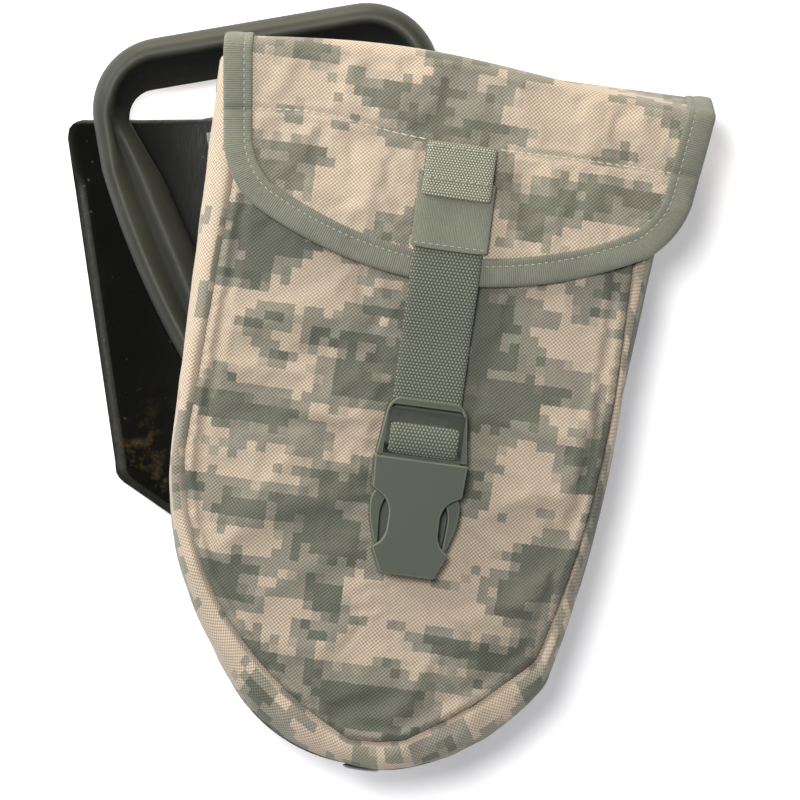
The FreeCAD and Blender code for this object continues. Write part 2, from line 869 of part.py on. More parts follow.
def hull(name, factor):
    """The pouch's outer form: upright to the break line, then leaning in to the front seam."""
    low = draw(free_sketch(name + "_side"), *shrunk(outline("side"), factor))
    upright = extrude(low, (0, 0, 1), 0, d.gusset_break_z)
    base = draw(free_sketch(name + "_break"), *shrunk(outline("side"), factor))
    bind_position(base, 0, 0, d.gusset_break_z)
    top = draw(free_sketch(name + "_front"), *shrunk(outline("seam"), factor))
    bind_position(top, 0, 0, d.gusset_top_z)
    lean = doc.addObject("Part::Loft", name + "_lean")
    lean.Sections = [base, top]
    lean.Solid = True
    lean.Ruled = True
    return combine("MultiFuse", name, [upright, lean])


def slab(name, low_line, high_line):
    """A layer between two lines drawn in x and z, running the length of the pouch."""
    sketch = free_sketch(name + "_line", "XZ")
    draw(sketch, list(low_line) + list(reversed(high_line)))
    return extrude(sketch, (0, 1, 0), -20, 300)


def back_line(rise):
    level = d.pouch_back_level + rise
    foot = d.pouch_foot_level + rise
    return [(-FAR, level), (d.back_fold_x, level), (d.back_foot_x, foot), (FAR, foot)]


def front_line(rise):
    return [(-FAR, front_height(-FAR) + rise), (FAR, front_height(FAR) + rise)]


def front_slab(name, low, high):
    return slab(name, front_line(low), front_line(high))


def below_mouth(name):
    return block(name + "_below_mouth", (-FAR, -20, -5), (FAR, d.mouth_y, FAR))


def make_pouch_shell():
    outside = hull("outer_hull", as_size(1))
    inside = hull("inner_hull", d.wall_shrink)
    taped = hull("tape_hull", d.tape_shrink)
    lined = hull("lining_hull", d.lining_shrink)
    front_layer = front_slab("front_cloth", -d.cloth, 0)
    front = combine("MultiCommon", "front", [outside, front_layer, below_mouth("front")])
    finish(front, "front_panel", "pouch")
    back_layer = slab("back_cloth", back_line(0), back_line(d.cloth))
    back = combine("MultiCommon", "back", [outside, back_layer])
    upstand_top = d.flap_root_z - d.layer_gap * 2
    upstand_right = d.flap_half - d.upstand_inset
    upstand = combine("MultiCommon", "upstand", [
        slab("upstand_layer", back_line(d.cloth / 2), [(-FAR, upstand_top), (FAR, upstand_top)]),
        block("upstand_box", (d.back_fold_x + 1, d.flap_wall_y, 0), (upstand_right, d.flap_top_y, FAR)),
    ])
    finish(combine("MultiFuse", "back_all", [back, upstand]), "back_panel", "pouch")
    gap = d.layer_gap
    between = slab("gusset_space", back_line(d.cloth + gap), front_line(-d.cloth - gap))
    wall = combine("Cut", "gusset_wall", (outside, inside))
    hole = eyelet_cylinder("eyelet_hole", d.eyelet_barrel + d.running_gap, -4, 9)
    band = combine("MultiCommon", "gusset_band", [wall, between, below_mouth("gusset")])
    finish(combine("Cut", "gusset_all", (band, hole)), "gusset", "pouch")
    make_seam_tape("front_seam_tape", taped, lined, front_line(-d.cloth - gap * 2 - d.tape_width),
                   front_line(-d.cloth - gap * 2), hole)
    make_seam_tape("back_seam_tape", taped, lined, back_line(d.cloth + gap * 2),
                   back_line(d.cloth + gap * 2 + d.tape_width), hole)
    make_lining("front_lining", lined, front_line(-d.cloth - gap * 2 - d.lining_cloth),
                front_line(-d.cloth - gap * 2))
    make_lining("back_lining", lined, back_line(d.cloth + gap * 2),
                back_line(d.cloth + gap * 2 + d.lining_cloth))


def make_seam_tape(label, outer, inner, low, high, hole):
    band = combine("Cut", label + "_band", (outer, inner))
    band = combine("Cut", label + "_holed", (band, hole))
    layer = slab(label + "_layer", low, high)
    finish(combine("MultiCommon", label + "_all", [band, layer, below_mouth(label)]), label, "pouch")


def make_lining(label, plan, low, high):
    top = d.mouth_y - d.binding_width - d.lining_set
    smaller = block(label + "_length", (-FAR, d.lining_low_y, -5), (FAR, top, FAR))
    layer = slab(label + "_layer", low, high)
    finish(combine("MultiCommon", label + "_all", [plan, layer, smaller]), label, "pouch")


def make_mouth_binding():
    """A folded tape over the front panel's top edge."""
    low = d.mouth_y - d.binding_width
    sketch = free_sketch("mouth_tape", "YZ")
    outer = d.cloth / 2 + d.tape_cloth
    slot = d.cloth / 2 + d.running_gap
    middle = -d.cloth / 2
    draw(sketch, [
        (low, middle - outer),
        (d.mouth_y + d.mouth_tape_top, middle - outer),
        (d.mouth_y + d.mouth_tape_top, middle + outer),
        (low, middle + outer),
        (low, middle + slot),
        (d.mouth_y + d.running_gap * 2, middle + slot),
        (d.mouth_y + d.running_gap * 2, middle - slot),
        (low, middle - slot),
    ])
    inset = d.mouth_tape_inset
    finish(extrude(sketch, (1, 0, 0), d.seam_x0 + inset, d.seam_x7 - inset), "mouth_binding", "front")


def eyelet_cylinder(name, radius, start, end):
    """A cylinder square to the side band at the pouch's tip; start and end count inward from its outer face."""
    feature = doc.addObject("Part::Cylinder", name)
    bind(feature, "Radius", radius)
    bind(feature, "Height", as_size(end) - start)
    tilt = math.radians(d.eyelet_tilt.value)
    turned(feature, (1, 0, 0), -90 - d.eyelet_tilt.value)
    inward, down = as_size(start) * math.cos(tilt), as_size(start) * math.sin(tilt)
    bind_position(feature, d.eyelet_x, d.eyelet_wall_y + inward, d.eyelet_z - down)
    return feature


def make_eyelet():
    face = d.eyelet_face
    end = face + d.eyelet_length
    flange = eyelet_cylinder("eyelet_flange", d.eyelet_flange, face, face + d.eyelet_flange_length)
    barrel = eyelet_cylinder("eyelet_barrel", d.eyelet_barrel, face + d.eyelet_flange_length / 2, end)
    bore = eyelet_cylinder("eyelet_bore", d.eyelet_bore, -4, 12)
    finish(combine("Cut", "eyelet", (combine("MultiFuse", "eyelet_solid", [flange, barrel]), bore)),
           "drain_eyelet", "pouch")
    back = end - d.layer_gap
    disc = eyelet_cylinder("washer_disc", d.eyelet_flange, back - d.eyelet_flange_length, back)
    hole = eyelet_cylinder("washer_hole", d.eyelet_barrel + d.running_gap, 4, 12)
    finish(combine("Cut", "eyelet_ring", (disc, hole)), "drain_eyelet_washer", "pouch")


def make_belt_loops():
    """Two webbing loops sewn at both ends to the back panel."""
    loops = []
    base = d.pouch_back_level - d.sewn_gap
    low = base - d.strap_thickness
    for x in (d.loop_left_x, d.loop_right_x):
        sketch = free_sketch("belt_loop", "YZ")
        bottom, top = d.loop_low_y, d.loop_high_y
        inner_low, inner_high = bottom + d.loop_sewn, top - d.loop_sewn
        slope = d.loop_slope
        draw(sketch, [
            (bottom, low), (inner_low, low), (inner_low + slope, low - d.loop_stand),
            (inner_high - slope, low - d.loop_stand), (inner_high, low), (top, low),
            (top, base), (inner_high, base), (inner_high - slope, base - d.loop_stand),
            (inner_low + slope, base - d.loop_stand), (inner_low, base), (bottom, base),
        ])
        loops.append(extrude(sketch, (1, 0, 0), x - d.loop_width / 2, x + d.loop_width / 2))
    finish(gather("belt_loop_group", loops), "belt_loops", "pouch")


def make_carry_tape():
    """A webbing band sewn across the back, its end just showing at the left edge."""
    base = d.pouch_back_level - d.sewn_gap
    band = block("carry_band", (d.carry_tape_left_x, d.carry_tape_low_y, base - d.strap_thickness),
                 (d.back_fold_x - 2, d.carry_tape_high_y, base))
    finish(band, "carry_tape", "pouch")


# ---------------------------------------------------------------- flap

def flap_outline():
    half = [
        (d.flap_half - d.flap_corner_cut, d.flap_top_y),
        (d.flap_half, d.flap_shoulder_y),
        (d.flap_waist_half, d.flap_waist_y),
        (d.flap_curve_half, d.flap_curve_y),
        (d.flap_point_half, d.flap_low_y),
    ]
    left = [(-x, y) for x, y in reversed(half)]
    corner, low = -d.flap_curve_bend, -d.flap_low_bend
    return half + left, {2: corner, 3: low, 5: low, 6: corner}


def flap_prism(name, factor, drop):
    """The flap's plan, drawn smaller about its top edge."""
    corners, bends = flap_outline()
    top = d.flap_top_y
    factor = as_size(factor)
    small = [(factor * x, top - drop + factor * (as_size(y) - top)) for x, y in corners]
    sketch = draw(free_sketch(name), small, {i: factor * bend for i, bend in bends.items()})
    return extrude(sketch, (0, 0, 1), 0, 110)


def make_flap():
    lift_off = d.flap_lift
    top = lift_off + d.cloth
    layer = front_slab("flap_layer", lift_off, top)
    cover = combine("MultiCommon", "flap_cover", [flap_prism("flap_plan", 1, 0), layer])
    wall_box = block("flap_wall_box", (d.flap_wall_left - d.flap_half, d.flap_wall_y, d.flap_root_z),
                     (d.flap_half - d.flap_wall_right, d.flap_top_y, FAR))
    room = slab("flap_wall_layer", [(-FAR, 0), (FAR, 0)], front_line(top))
    wall = combine("MultiCommon", "flap_wall", [wall_box, room])
    finish(combine("MultiFuse", "flap_all", [cover, wall]), "flap", "pouch")
    inner = flap_prism("flap_lining_plan", d.flap_lining_scale, d.flap_lining_drop)
    under = front_slab("flap_lining_layer", lift_off - d.lining_cloth, lift_off - d.sewn_gap)
    finish(combine("MultiCommon", "flap_lining_all", [inner, under]), "flap_lining", "pouch")


def make_flap_binding():
    """A tape folded over the flap's sides and curved edge."""
    outer = flap_prism("binding_plan", d.binding_outer, 0)
    inner = flap_prism("binding_inner_plan", d.binding_inner, 0)
    band = combine("Cut", "binding_band", (outer, inner))
    top = d.flap_lift + d.cloth
    layer = front_slab("binding_layer", d.flap_lift - d.binding_below, top + d.binding_above)
    slot_plan = flap_prism("slot_plan", d.binding_slot, d.binding_slot_drop)
    slot_layer = front_slab("slot_layer", d.flap_lift - d.binding_slot_below, top + d.running_gap)
    slot = combine("MultiCommon", "binding_slot", [slot_plan, slot_layer])
    top_off = block("binding_ends", (-FAR, -20, -5), (FAR, d.flap_shoulder_y + 1, FAR))
    tape = combine("MultiCommon", "binding_tape", [band, layer, top_off])
    finish(combine("Cut", "binding_all", (tape, slot)), "flap_binding", "pouch")


# ---------------------------------------------------------------- strap and buckle, in the front frame

def strap_edges(width):
    return d.strap_x - width / 2, d.strap_x + width / 2


def make_closure_strap():
    low = [
        (d.strap_top_y, d.strap_flap_z), (d.strap_rise_y, d.strap_flap_z), (d.strap_crest_y, d.strap_edge_z),
        (d.strap_fall_y, d.strap_edge_z), (d.strap_rest_y, d.strap_low_z), (d.frame_bar_y, d.strap_low_z),
    ]
    high = [(y, z + d.strap_thickness) for y, z in reversed(low)]
    sketch = draw(free_sketch("strap_side", "YZ"), low + high)
    left, right = strap_edges(d.strap_width)
    run = extrude(sketch, (1, 0, 0), left, right)
    y, z = d.frame_bar_y, d.frame_bar_z
    roll = cylinder("strap_roll", "X", d.roll_radius, left, right, y=y, z=z)
    bore = d.frame_bar_radius + d.sewn_gap
    clear = cylinder("strap_roll_hole", "X", bore, left - 1, right + 1, y=y, z=z)
    solid = combine("MultiFuse", "strap_solid", [run, roll])
    finish(combine("Cut", "strap_all", (solid, clear)), "closure_strap", "front")


def make_strap_patches():
    left, right = strap_edges(d.cover_width)
    edge = d.strap_edge_z + d.strap_thickness + d.sewn_gap
    top = edge + d.cover_thickness
    cover = block("cover", (left, d.cover_low_y, edge), (right, d.cover_top_y, top))
    finish(cover, "strap_cover_tape", "front")
    left, right = strap_edges(d.strap_width)
    high = top + d.sewn_gap
    anchor_top = high + d.strap_thickness
    anchor = block("anchor", (left, d.anchor_low_y, high), (right, d.anchor_top_y, anchor_top))
    finish(anchor, "strap_anchor", "front")


def make_buckle_frame():
    x, rail = d.strap_x, d.frame_rail
    left, right = x - d.buckle_half, x + d.buckle_half
    low, top = d.frame_low_y, d.frame_top_y
    outer = block("frame_outer", (left, low, d.frame_low_z), (right, top, d.frame_high_z))
    window = block("frame_window", (left + rail, low + d.frame_low_rail, 0),
                   (right - rail, top - d.frame_top_rail, FAR))
    notch = d.frame_top_rail + d.frame_notch
    under = block("frame_under", (left + rail, top - notch, 0),
                  (right - rail, top + 1, d.frame_low_z + d.frame_notch_depth))
    ring_solid = combine("Cut", "frame_ring", (combine("Cut", "frame_open", (outer, window)), under))
    y, z = d.frame_bar_y, d.frame_bar_z
    bar = cylinder("frame_bar", "X", d.frame_bar_radius, left + 1, right - 1, y=y, z=z)
    finish(combine("MultiFuse", "frame_all", [ring_solid, bar]), "buckle_frame", "front")


def make_prong(label, side):
    """A flexing prong with a bulge that shows in the socket's side window."""
    x = d.strap_x + side * d.prong_pivot_x
    pivot_y = d.prong_pivot_y
    inner, outer = d.prong_pivot_x - d.prong_half, d.prong_pivot_x + d.prong_half
    root = cylinder(label + "_root", "Z", d.prong_half, d.prong_low_z, d.prong_high_z, x=x, y=pivot_y)
    corners = [
        (outer, pivot_y), (outer, d.prong_neck_y), (d.prong_bulge, d.prong_bulge_high_y),
        (d.prong_bulge, d.prong_bulge_low_y), (inner + d.prong_tip_half, d.prong_tip_y),
        (inner, d.prong_tip_y + d.prong_tip_half * 2), (inner, pivot_y),
    ]
    placed = [(d.strap_x + side * as_size(a), b) for a, b in corners]
    sketch = draw(free_sketch(label + "_plan"), placed)
    blade = extrude(sketch, (0, 0, 1), d.prong_low_z, d.prong_high_z)
    finish(combine("MultiFuse", label + "_all", [root, blade]), label, "front")


def make_buckle_socket():
    x = d.strap_x
    half = d.buckle_half
    sketch = free_sketch("socket_plan")
    right = [
        (d.socket_foot_half, d.socket_low_y), (d.socket_lip_half, d.window_low_y - d.window_lip),
        (d.socket_lip_half, d.window_low_y), (d.waist_half, d.window_low_y + d.window_lip),
        (d.waist_half, d.window_high_y - d.window_slope),
        (half, d.window_high_y), (half, d.socket_high_y),
    ]
    placed = [(x + a, b) for a, b in right] + [(x - as_size(a), b) for a, b in reversed(right)]
    draw(sketch, placed)
    shell = extrude(sketch, (0, 0, 1), d.socket_low_z, d.socket_high_z)
    side, wall = half - d.socket_side, d.socket_wall
    cavity = block("socket_cavity", (x - side, d.prong_tip_y - 2, d.socket_low_z + wall),
                   (x + side, d.socket_high_y + 1, d.socket_high_z - wall))
    slot_y = d.socket_low_y + d.tab_slot_width
    slot = block("socket_slot", (x - d.tab_slot_half, slot_y, d.socket_low_z - 1),
                 (x + d.tab_slot_half, slot_y + d.tab_slot_width, d.socket_low_z + d.socket_wall * 2))
    finish(combine("Cut", "socket_all", (combine("Cut", "socket_hollow", (shell, cavity)), slot)),
           "buckle_socket", "front")


def make_socket_tab():
    left, right = strap_edges(d.strap_width)
    top = d.tab_lift + d.tab_thickness
    tab = block("tab", (left, d.tab_low_y, d.tab_lift), (right, d.tab_high_y, top))
    finish(tab, "socket_tab", "front")


# ---------------------------------------------------------------- build and write

def build_all():
    make_inner_link()
    make_shaft_tube()
    make_guide_bushes()
    make_threaded_sleeve()
    make_lock_nut()
    make_thrust_washer()
    ear_reach = d.link_eye_width / 2 + d.bracket_gap + d.bracket_ear
    make_hinge_pin("blade_hinge_pin", d.hinge_span, ear_reach + d.sewn_gap)
    make_hinge_pin("handle_hinge_pin", 0, d.handle_foot_half - 1)
    make_blade()
    make_blade_bracket()
    make_blade_rivets()
    make_d_handle()
    make_pouch_shell()
    make_mouth_binding()
    make_eyelet()
    make_belt_loops()
    make_carry_tape()
    make_flap()
    make_flap_binding()
    make_closure_strap()
    make_strap_patches()
    make_buckle_frame()
    make_prong("prong_left", -1)
    make_prong("prong_right", 1)
    make_buckle_socket()
    make_socket_tab()
    doc.recompute()


def write_all():
    os.makedirs("parts", exist_ok=True)
    for feature in doc.Objects:
        if "Invalid" in feature.State or "Error" in feature.State:
            raise RuntimeError("%s failed to build" % feature.Label)
    for piece in PIECES:
        if piece.Shape.isNull() or not piece.Shape.isValid():
            raise RuntimeError("%s has no valid shape" % piece.Label)
        piece.Shape.exportStep("parts/%s.step" % piece.Label)


build_all()
write_all()
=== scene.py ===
"""A folded camp shovel lying under its camouflage pouch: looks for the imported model.

Lengths are millimetres in the frame of the shovel, the pouch or the pouch's front, until the function
shovel(), pouch() or front() puts a point into the model's frame in metres.
"""
import math

import bmesh
import bpy
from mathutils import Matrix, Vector, geometry, kdtree, noise


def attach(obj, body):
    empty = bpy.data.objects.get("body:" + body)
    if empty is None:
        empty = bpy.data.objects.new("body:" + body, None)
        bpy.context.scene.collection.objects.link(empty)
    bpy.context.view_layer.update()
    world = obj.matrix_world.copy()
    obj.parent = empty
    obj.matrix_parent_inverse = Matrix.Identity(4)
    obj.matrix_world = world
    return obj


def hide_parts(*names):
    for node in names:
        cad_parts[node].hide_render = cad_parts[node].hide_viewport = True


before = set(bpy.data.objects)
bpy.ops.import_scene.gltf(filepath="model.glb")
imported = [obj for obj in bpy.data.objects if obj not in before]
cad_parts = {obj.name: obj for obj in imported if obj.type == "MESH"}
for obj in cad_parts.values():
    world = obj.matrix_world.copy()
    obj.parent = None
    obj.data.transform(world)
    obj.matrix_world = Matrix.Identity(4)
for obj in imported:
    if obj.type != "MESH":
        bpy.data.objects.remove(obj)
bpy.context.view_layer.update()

# ---------------------------------------------------------------- frames

MM = 0.001
SHOVEL_X, SHOVEL_Y, SHOVEL_TURN = -11.2, -93.3, math.radians(9.7)
POUCH_X, POUCH_Y, POUCH_TURN = -4.1, -141.5, math.radians(-7.6)
SHAFT_HEIGHT = 22.0
FRONT_MIDDLE = 75.33
FRONT_SLOPE = -12.0 / 153.0
ROLL = math.atan(-FRONT_SLOPE)


def turned(x, y, angle):
    """A place turned about the origin."""
    return x * math.cos(angle) - y * math.sin(angle), x * math.sin(angle) + y * math.cos(angle)


def shovel(point):
    """From the shovel's frame (Y along the shaft) to the model's frame."""
    x, y = turned(point[0], point[1], SHOVEL_TURN)
    return Vector((SHOVEL_X + x, SHOVEL_Y + y, point[2])) * MM


def pouch(point):
    """From the pouch's frame (Y up the pouch) to the model's frame."""
    x, y = turned(point[0], point[1], POUCH_TURN)
    return Vector((POUCH_X + x, POUCH_Y + y, point[2])) * MM


def front(point):
    """From the frame of the pouch's sloping front face to the model's frame."""
    x, y, z = point
    across = x * math.cos(ROLL) + z * math.sin(ROLL)
    up = FRONT_MIDDLE - x * math.sin(ROLL) + z * math.cos(ROLL)
    return pouch((across, y, up))


def front_z(x):
    """Height of the plane that the pouch's front lies in."""
    return FRONT_MIDDLE + FRONT_SLOPE * x


# ---------------------------------------------------------------- curves and surfaces

def smooth(t):
    """From 0 to 1 with a soft start and end."""
    t = max(0.0, min(1.0, t))
    return t * t * (3 - 2 * t)


def mix(a, b, t):
    return a + (b - a) * t


def bell(distance, width):
    """1 at no distance, falling off over a width on both sides."""
    return math.exp(-(distance / width) ** 2)


def ripple(x, y, size, seed=0.0):
    """Smooth noise from -1 to 1 with features of the given size."""
    return noise.noise(Vector((x / size, y / size, seed)))


def bent_run(a, b, bend, count):
    """Points from a up to but not including b: straight without a bend, or on an arc.

    The bend is the arc's radius, with the centre on the left if it is positive.
    """
    a, b = Vector(a[:2]), Vector(b[:2])
    if not bend:
        return [a.lerp(b, i / count) for i in range(count)]
    chord = b - a
    side = 1 if bend > 0 else -1
    left = Vector((-chord.y, chord.x)).normalized() * side
    centre = (a + b) / 2 + left * math.sqrt(bend ** 2 - (chord.length / 2) ** 2)
    start = math.atan2(a.y - centre.y, a.x - centre.x)
    sweep = 2 * math.asin(chord.length / 2 / abs(bend)) * side
    angles = [start + sweep * i / count for i in range(count)]
    return [centre + abs(bend) * Vector((math.cos(t), math.sin(t))) for t in angles]


def bent_path(corners, step):
    """Points along an outline whose corners are x, y and the bend of the run that follows."""
    path = []
    for a, b in zip(corners, corners[1:]):
        length = (Vector(b[:2]) - Vector(a[:2])).length
        path += bent_run(a, b, a[2], max(2, round(length / step)))
    return path + [Vector(corners[-1][:2])]


def lengths(path):
    """How far along the path each of its points is."""
    total = [0.0]
    for a, b in zip(path, path[1:]):
        total.append(total[-1] + (Vector(b) - Vector(a)).length)
    return total


def resampled(path, count):
    """The path again, as count points evenly spaced along it."""
    total = lengths(path)
    out, k = [], 0
    for i in range(count):
        want = total[-1] * i / (count - 1)
        while k < len(path) - 2 and total[k + 1] < want:
            k += 1
        span = max(total[k + 1] - total[k], 1e-9)
        out.append(Vector(path[k]).lerp(Vector(path[k + 1]), min(1.0, (want - total[k]) / span)))
    return out


def rounded(corners, radius):
    """A closed outline with each corner x, y rounded by its own third number, or by radius."""
    out = []
    count = len(corners)
    for i, corner in enumerate(corners):
        here = Vector(corner[:2])
        size = corner[2] if len(corner) > 2 else radius
        if size < 0.7:
            out.append(here)
            continue
        before = Vector(corners[i - 1][:2]) - here
        after = Vector(corners[(i + 1) % count][:2]) - here
        reach = min(size, before.length * 0.45, after.length * 0.45)
        a, b = here + before.normalized() * reach, here + after.normalized() * reach
        steps = min(5, max(2, round(size * 1.4)))
        for k in range(steps + 1):
            t = k / steps
            out.append(a * (1 - t) ** 2 + here * 2 * t * (1 - t) + b * t * t)
    return out


def new_object(name, points, faces, place, uv=None):
    """A smooth mesh object from points in one of the frames.

    uv gives each point its place on the flat cloth.
    """
    data = bpy.data.meshes.new(name)
    data.from_pydata([place(p) for p in points], [], faces)
    data.validate()
    obj = bpy.data.objects.new(name, data)
    bpy.context.scene.collection.objects.link(obj)
    if uv:
        layer = data.uv_layers.new(name="cloth")
        for loop in data.loops:
            layer.data[loop.index].uv = uv[loop.vertex_index]
    data.polygons.foreach_set("use_smooth", [True] * len(data.polygons))
    return obj


def faces_out(obj):
    """Turns every face of a closed mesh outwards."""
    bm = bmesh.new()
    bm.from_mesh(obj.data)
    bmesh.ops.recalc_face_normals(bm, faces=bm.faces)
    bm.to_mesh(obj.data)
    bm.free()
    return obj


def loft(name, rows, place, closed=False, caps=False, uv=None):
    """A surface through rows of points. closed joins each row's ends; caps close the first and last rows."""
    width = len(rows[0])
    points = [p for row in rows for p in row]
    faces = []
    for i in range(len(rows) - 1):
        for j in range(width if closed else width - 1):
            k = (j + 1) % width
            faces.append((i * width + j, i * width + k, (i + 1) * width + k, (i + 1) * width + j))
    if caps:
        last = (len(rows) - 1) * width
        faces.append(tuple(range(width)))
        faces.append(tuple(last + j for j in range(width)))
    flat = [c for row in uv for c in row] if uv else None
    return faces_out(new_object(name, points, faces, place, flat))


def inside(point, outline):
    """Whether a point is inside a closed outline."""
    x, y = point
    hit = False
    for a, b in zip(outline, outline[1:] + outline[:1]):
        if (a[1] > y) != (b[1] > y) and x < (b[0] - a[0]) * (y - a[1]) / (b[1] - a[1]) + a[0]:
            hit = not hit
    return hit


def edge_finder(outline):
    """A function that gives a place's distance from the nearest point of an outline."""
    tree = kdtree.KDTree(len(outline))
    for i, p in enumerate(outline):
        tree.insert((p[0], p[1], 0), i)
    tree.balance()
    return lambda x, y: tree.find((x, y, 0))[2]


def closing(outline, count):
    """Points on the straight run that closes an outline."""
    return resampled([outline[-1], outline[0]], count)[1:-1]


def below(ring, level):
    """Where the part of an outline that is below a level starts and stops."""
    start = next(i for i, p in enumerate(ring) if p.y < level)
    stop = len(ring) - next(i for i, p in enumerate(reversed(ring)) if p.y < level)
    return start, stop


def fabric(name, outline, step, height):
    """A sheet of cloth that fills an outline of the pouch, its height given by a function of x and y."""
    near = edge_finder(resampled(list(outline) + [outline[0]], 600))
    xs, ys = [p[0] for p in outline], [p[1] for p in outline]
    points = [Vector(p[:2]) for p in outline]
    edges = [(i, (i + 1) % len(points)) for i in range(len(points))]
    row, y = 0, min(ys)
    while y < max(ys):
        x = min(xs) + (step / 2 if row % 2 else 0)
        while x < max(xs):
            if near(x, y) > step * 0.55 and inside((x, y), outline):
                points.append(Vector((x, y)))
            x += step
        y += step * 0.87
        row += 1
    flat, _, faces, _, _, _ = geometry.delaunay_2d_cdt(points, edges, [], 1, 1e-5)
    solid = [(p.x, p.y, height(p.x, p.y)) for p in flat]
    uv = [(p.x, p.y) for p in flat]
    return new_object(name, solid, [tuple(f) for f in faces], pouch, uv)


def strap(name, left, right, path, thickness, place=front, across=14):
    """A flat webbing band along a path of y and z points, thinner at its two edges."""
    edge_inset = 0.45
    rows, uv = [], []
    total = lengths([Vector((0, y, z)) for y, z in path])
    for i, (y, z) in enumerate(path):
        a, b = path[max(0, i - 1)], path[min(len(path) - 1, i + 1)]
        along = Vector((b[0] - a[0], b[1] - a[1])).normalized()
        up = Vector((-along.y, along.x))
        if along.x < 0 or (abs(along.x) < 1e-6 and along.y > 0):
            up = -up
        row, marks = [], []
        half = thickness / 2
        for side, order in ((1, range(across + 1)), (-1, range(across, -1, -1))):
            for k in order:
                x = mix(left, right, k / across)
                inset = edge_inset if k in (0, across) else 0.0
                lift = side * (half - inset)
                row.append((x, y + up.x * lift, z + up.y * lift))
                marks.append((x, total[i]))
        rows.append(row)
        uv.append(marks)
    return loft(name, rows, place, closed=True, caps=True, uv=uv)


def spread(points, step):
    """A path of y and z points with a point at least every step, its corners eased."""
    path = [Vector((y, z)) for y, z in points]
    out = []
    for a, b in zip(path, path[1:]):
        count = max(1, math.ceil((b - a).length / step))
        out += [a.lerp(b, i / count) for i in range(count)]
    out.append(path[-1])
    for _ in range(3):
        out = [out[0]] + [(p + q + r) / 3 for p, q, r in zip(out, out[1:], out[2:])] + [out[-1]]
    return [(p.x, p.y) for p in out]


def moulding(name, outline, low, high, place=front, holes=()):
    """A plate of moulded plastic with an outline and holes."""
    loops = [list(outline)] + [list(h) for h in holes]
    points, edges = [], []
    for loop in loops:
        start = len(points)
        points += [Vector(p[:2]) for p in loop]
        edges += [(start + i, start + (i + 1) % len(loop)) for i in range(len(loop))]
    flat, _, faces, _, _, _ = geometry.delaunay_2d_cdt(points, edges, [], 1, 1e-5)
    kept = []
    for f in faces:
        middle = sum((flat[i] for i in f), Vector((0, 0))) / 3
        if not any(inside(middle, h) for h in loops[1:]):
            kept.append(tuple(f))
    bm = bmesh.new()
    tops = [bm.verts.new(place((p.x, p.y, high))) for p in flat]
    for f in kept:
        bm.faces.new([tops[i] for i in f])
    bm.normal_update()
    depth = place((0, 0, low)) - place((0, 0, high))
    made = bmesh.ops.extrude_face_region(bm, geom=bm.faces[:])
    lower = [v for v in made["geom"] if isinstance(v, bmesh.types.BMVert)]
    bmesh.ops.translate(bm, verts=lower, vec=depth)
    bmesh.ops.dissolve_limit(bm, angle_limit=0.005, verts=bm.verts, edges=bm.edges)
    bmesh.ops.recalc_face_normals(bm, faces=bm.faces)
    data = bpy.data.meshes.new(name)
    bm.to_mesh(data)
    bm.free()
    obj = bpy.data.objects.new(name, data)
    bpy.context.scene.collection.objects.link(obj)
    return obj


def smoothed(obj, levels=1):
    """A finer, rounder mesh."""
    fine = obj.modifiers.new("fine", "SUBSURF")
    fine.levels = levels
    fine.render_levels = levels
    return obj


def thickened(obj, thickness, offset=-1.0):
    """A sheet given its thickness: inwards, or to both sides with an offset of 0."""
    wall = obj.modifiers.new("cloth", "SOLIDIFY")
    wall.thickness = thickness * MM
    wall.offset = offset
    return obj


SETTLING = {
    "quality": 6, "mass": 0.2, "tension_stiffness": 18, "compression_stiffness": 18, "shear_stiffness": 6,
    "bending_stiffness": 0.25, "use_pressure": True,
}
SETTLING_FRAMES = 18


def relaxed(obj, held, slack, pressure, cap):
    """Let a sheet settle as slack cloth pushed out a little from inside, as a filled bag's walls are.

    held(x, y) says how firmly a point of the pouch's frame is held, 0 to 1. No point moves further than cap.
    """
    group = obj.vertex_groups.new(name="held")
    before = [v.co.copy() for v in obj.data.vertices]
    for i, co in enumerate(before):
        x, y = turned(co.x / MM - POUCH_X, co.y / MM - POUCH_Y, -POUCH_TURN)
        group.add([i], held(x, y), "REPLACE")
    cloth = obj.modifiers.new("settling", "CLOTH")
    for setting, value in SETTLING.items():
        setattr(cloth.settings, setting, value)
    cloth.settings.vertex_group_mass = "held"
    cloth.settings.shrink_min = -slack
    cloth.settings.shrink_max = -slack
    cloth.settings.uniform_pressure_force = pressure
    cloth.settings.effector_weights.gravity = 0
    cloth.collision_settings.use_collision = False
    for frame_number in range(1, SETTLING_FRAMES + 1):
        bpy.context.scene.frame_set(frame_number)
    settled = obj.evaluated_get(bpy.context.evaluated_depsgraph_get()).data
    for v, old, new in zip(obj.data.vertices, before, [v.co.copy() for v in settled.vertices]):
        move = new - old
        limit = cap if move.z > 0 else cap * 0.4
        v.co = old + move * min(1.0, limit * MM / max(move.length, 1e-9))
    obj.modifiers.remove(cloth)
    obj.vertex_groups.remove(group)
    bpy.context.scene.frame_set(1)


def joined(name, objects):
    """Several meshes as one piece."""
    main = objects[0]
    bm = bmesh.new()
    for obj in objects:
        bm.from_mesh(obj.data)
    data = bpy.data.meshes.new(name)
    bm.to_mesh(data)
    bm.free()
    for obj in objects:
        bpy.data.objects.remove(obj)
    obj = bpy.data.objects.new(name, data)
    bpy.context.scene.collection.objects.link(obj)
    return obj


# place along a stitch, radius and rise of each ring of points round it, as shares
STITCH_RINGS = [(-0.5, 0.25, -0.5), (-0.32, 0.9, 0.1), (0.0, 1.0, 0.45), (0.32, 0.9, 0.1), (0.5, 0.25, -0.5)]
STITCH_SIDES = 6
STITCH_SLANT = 0.10


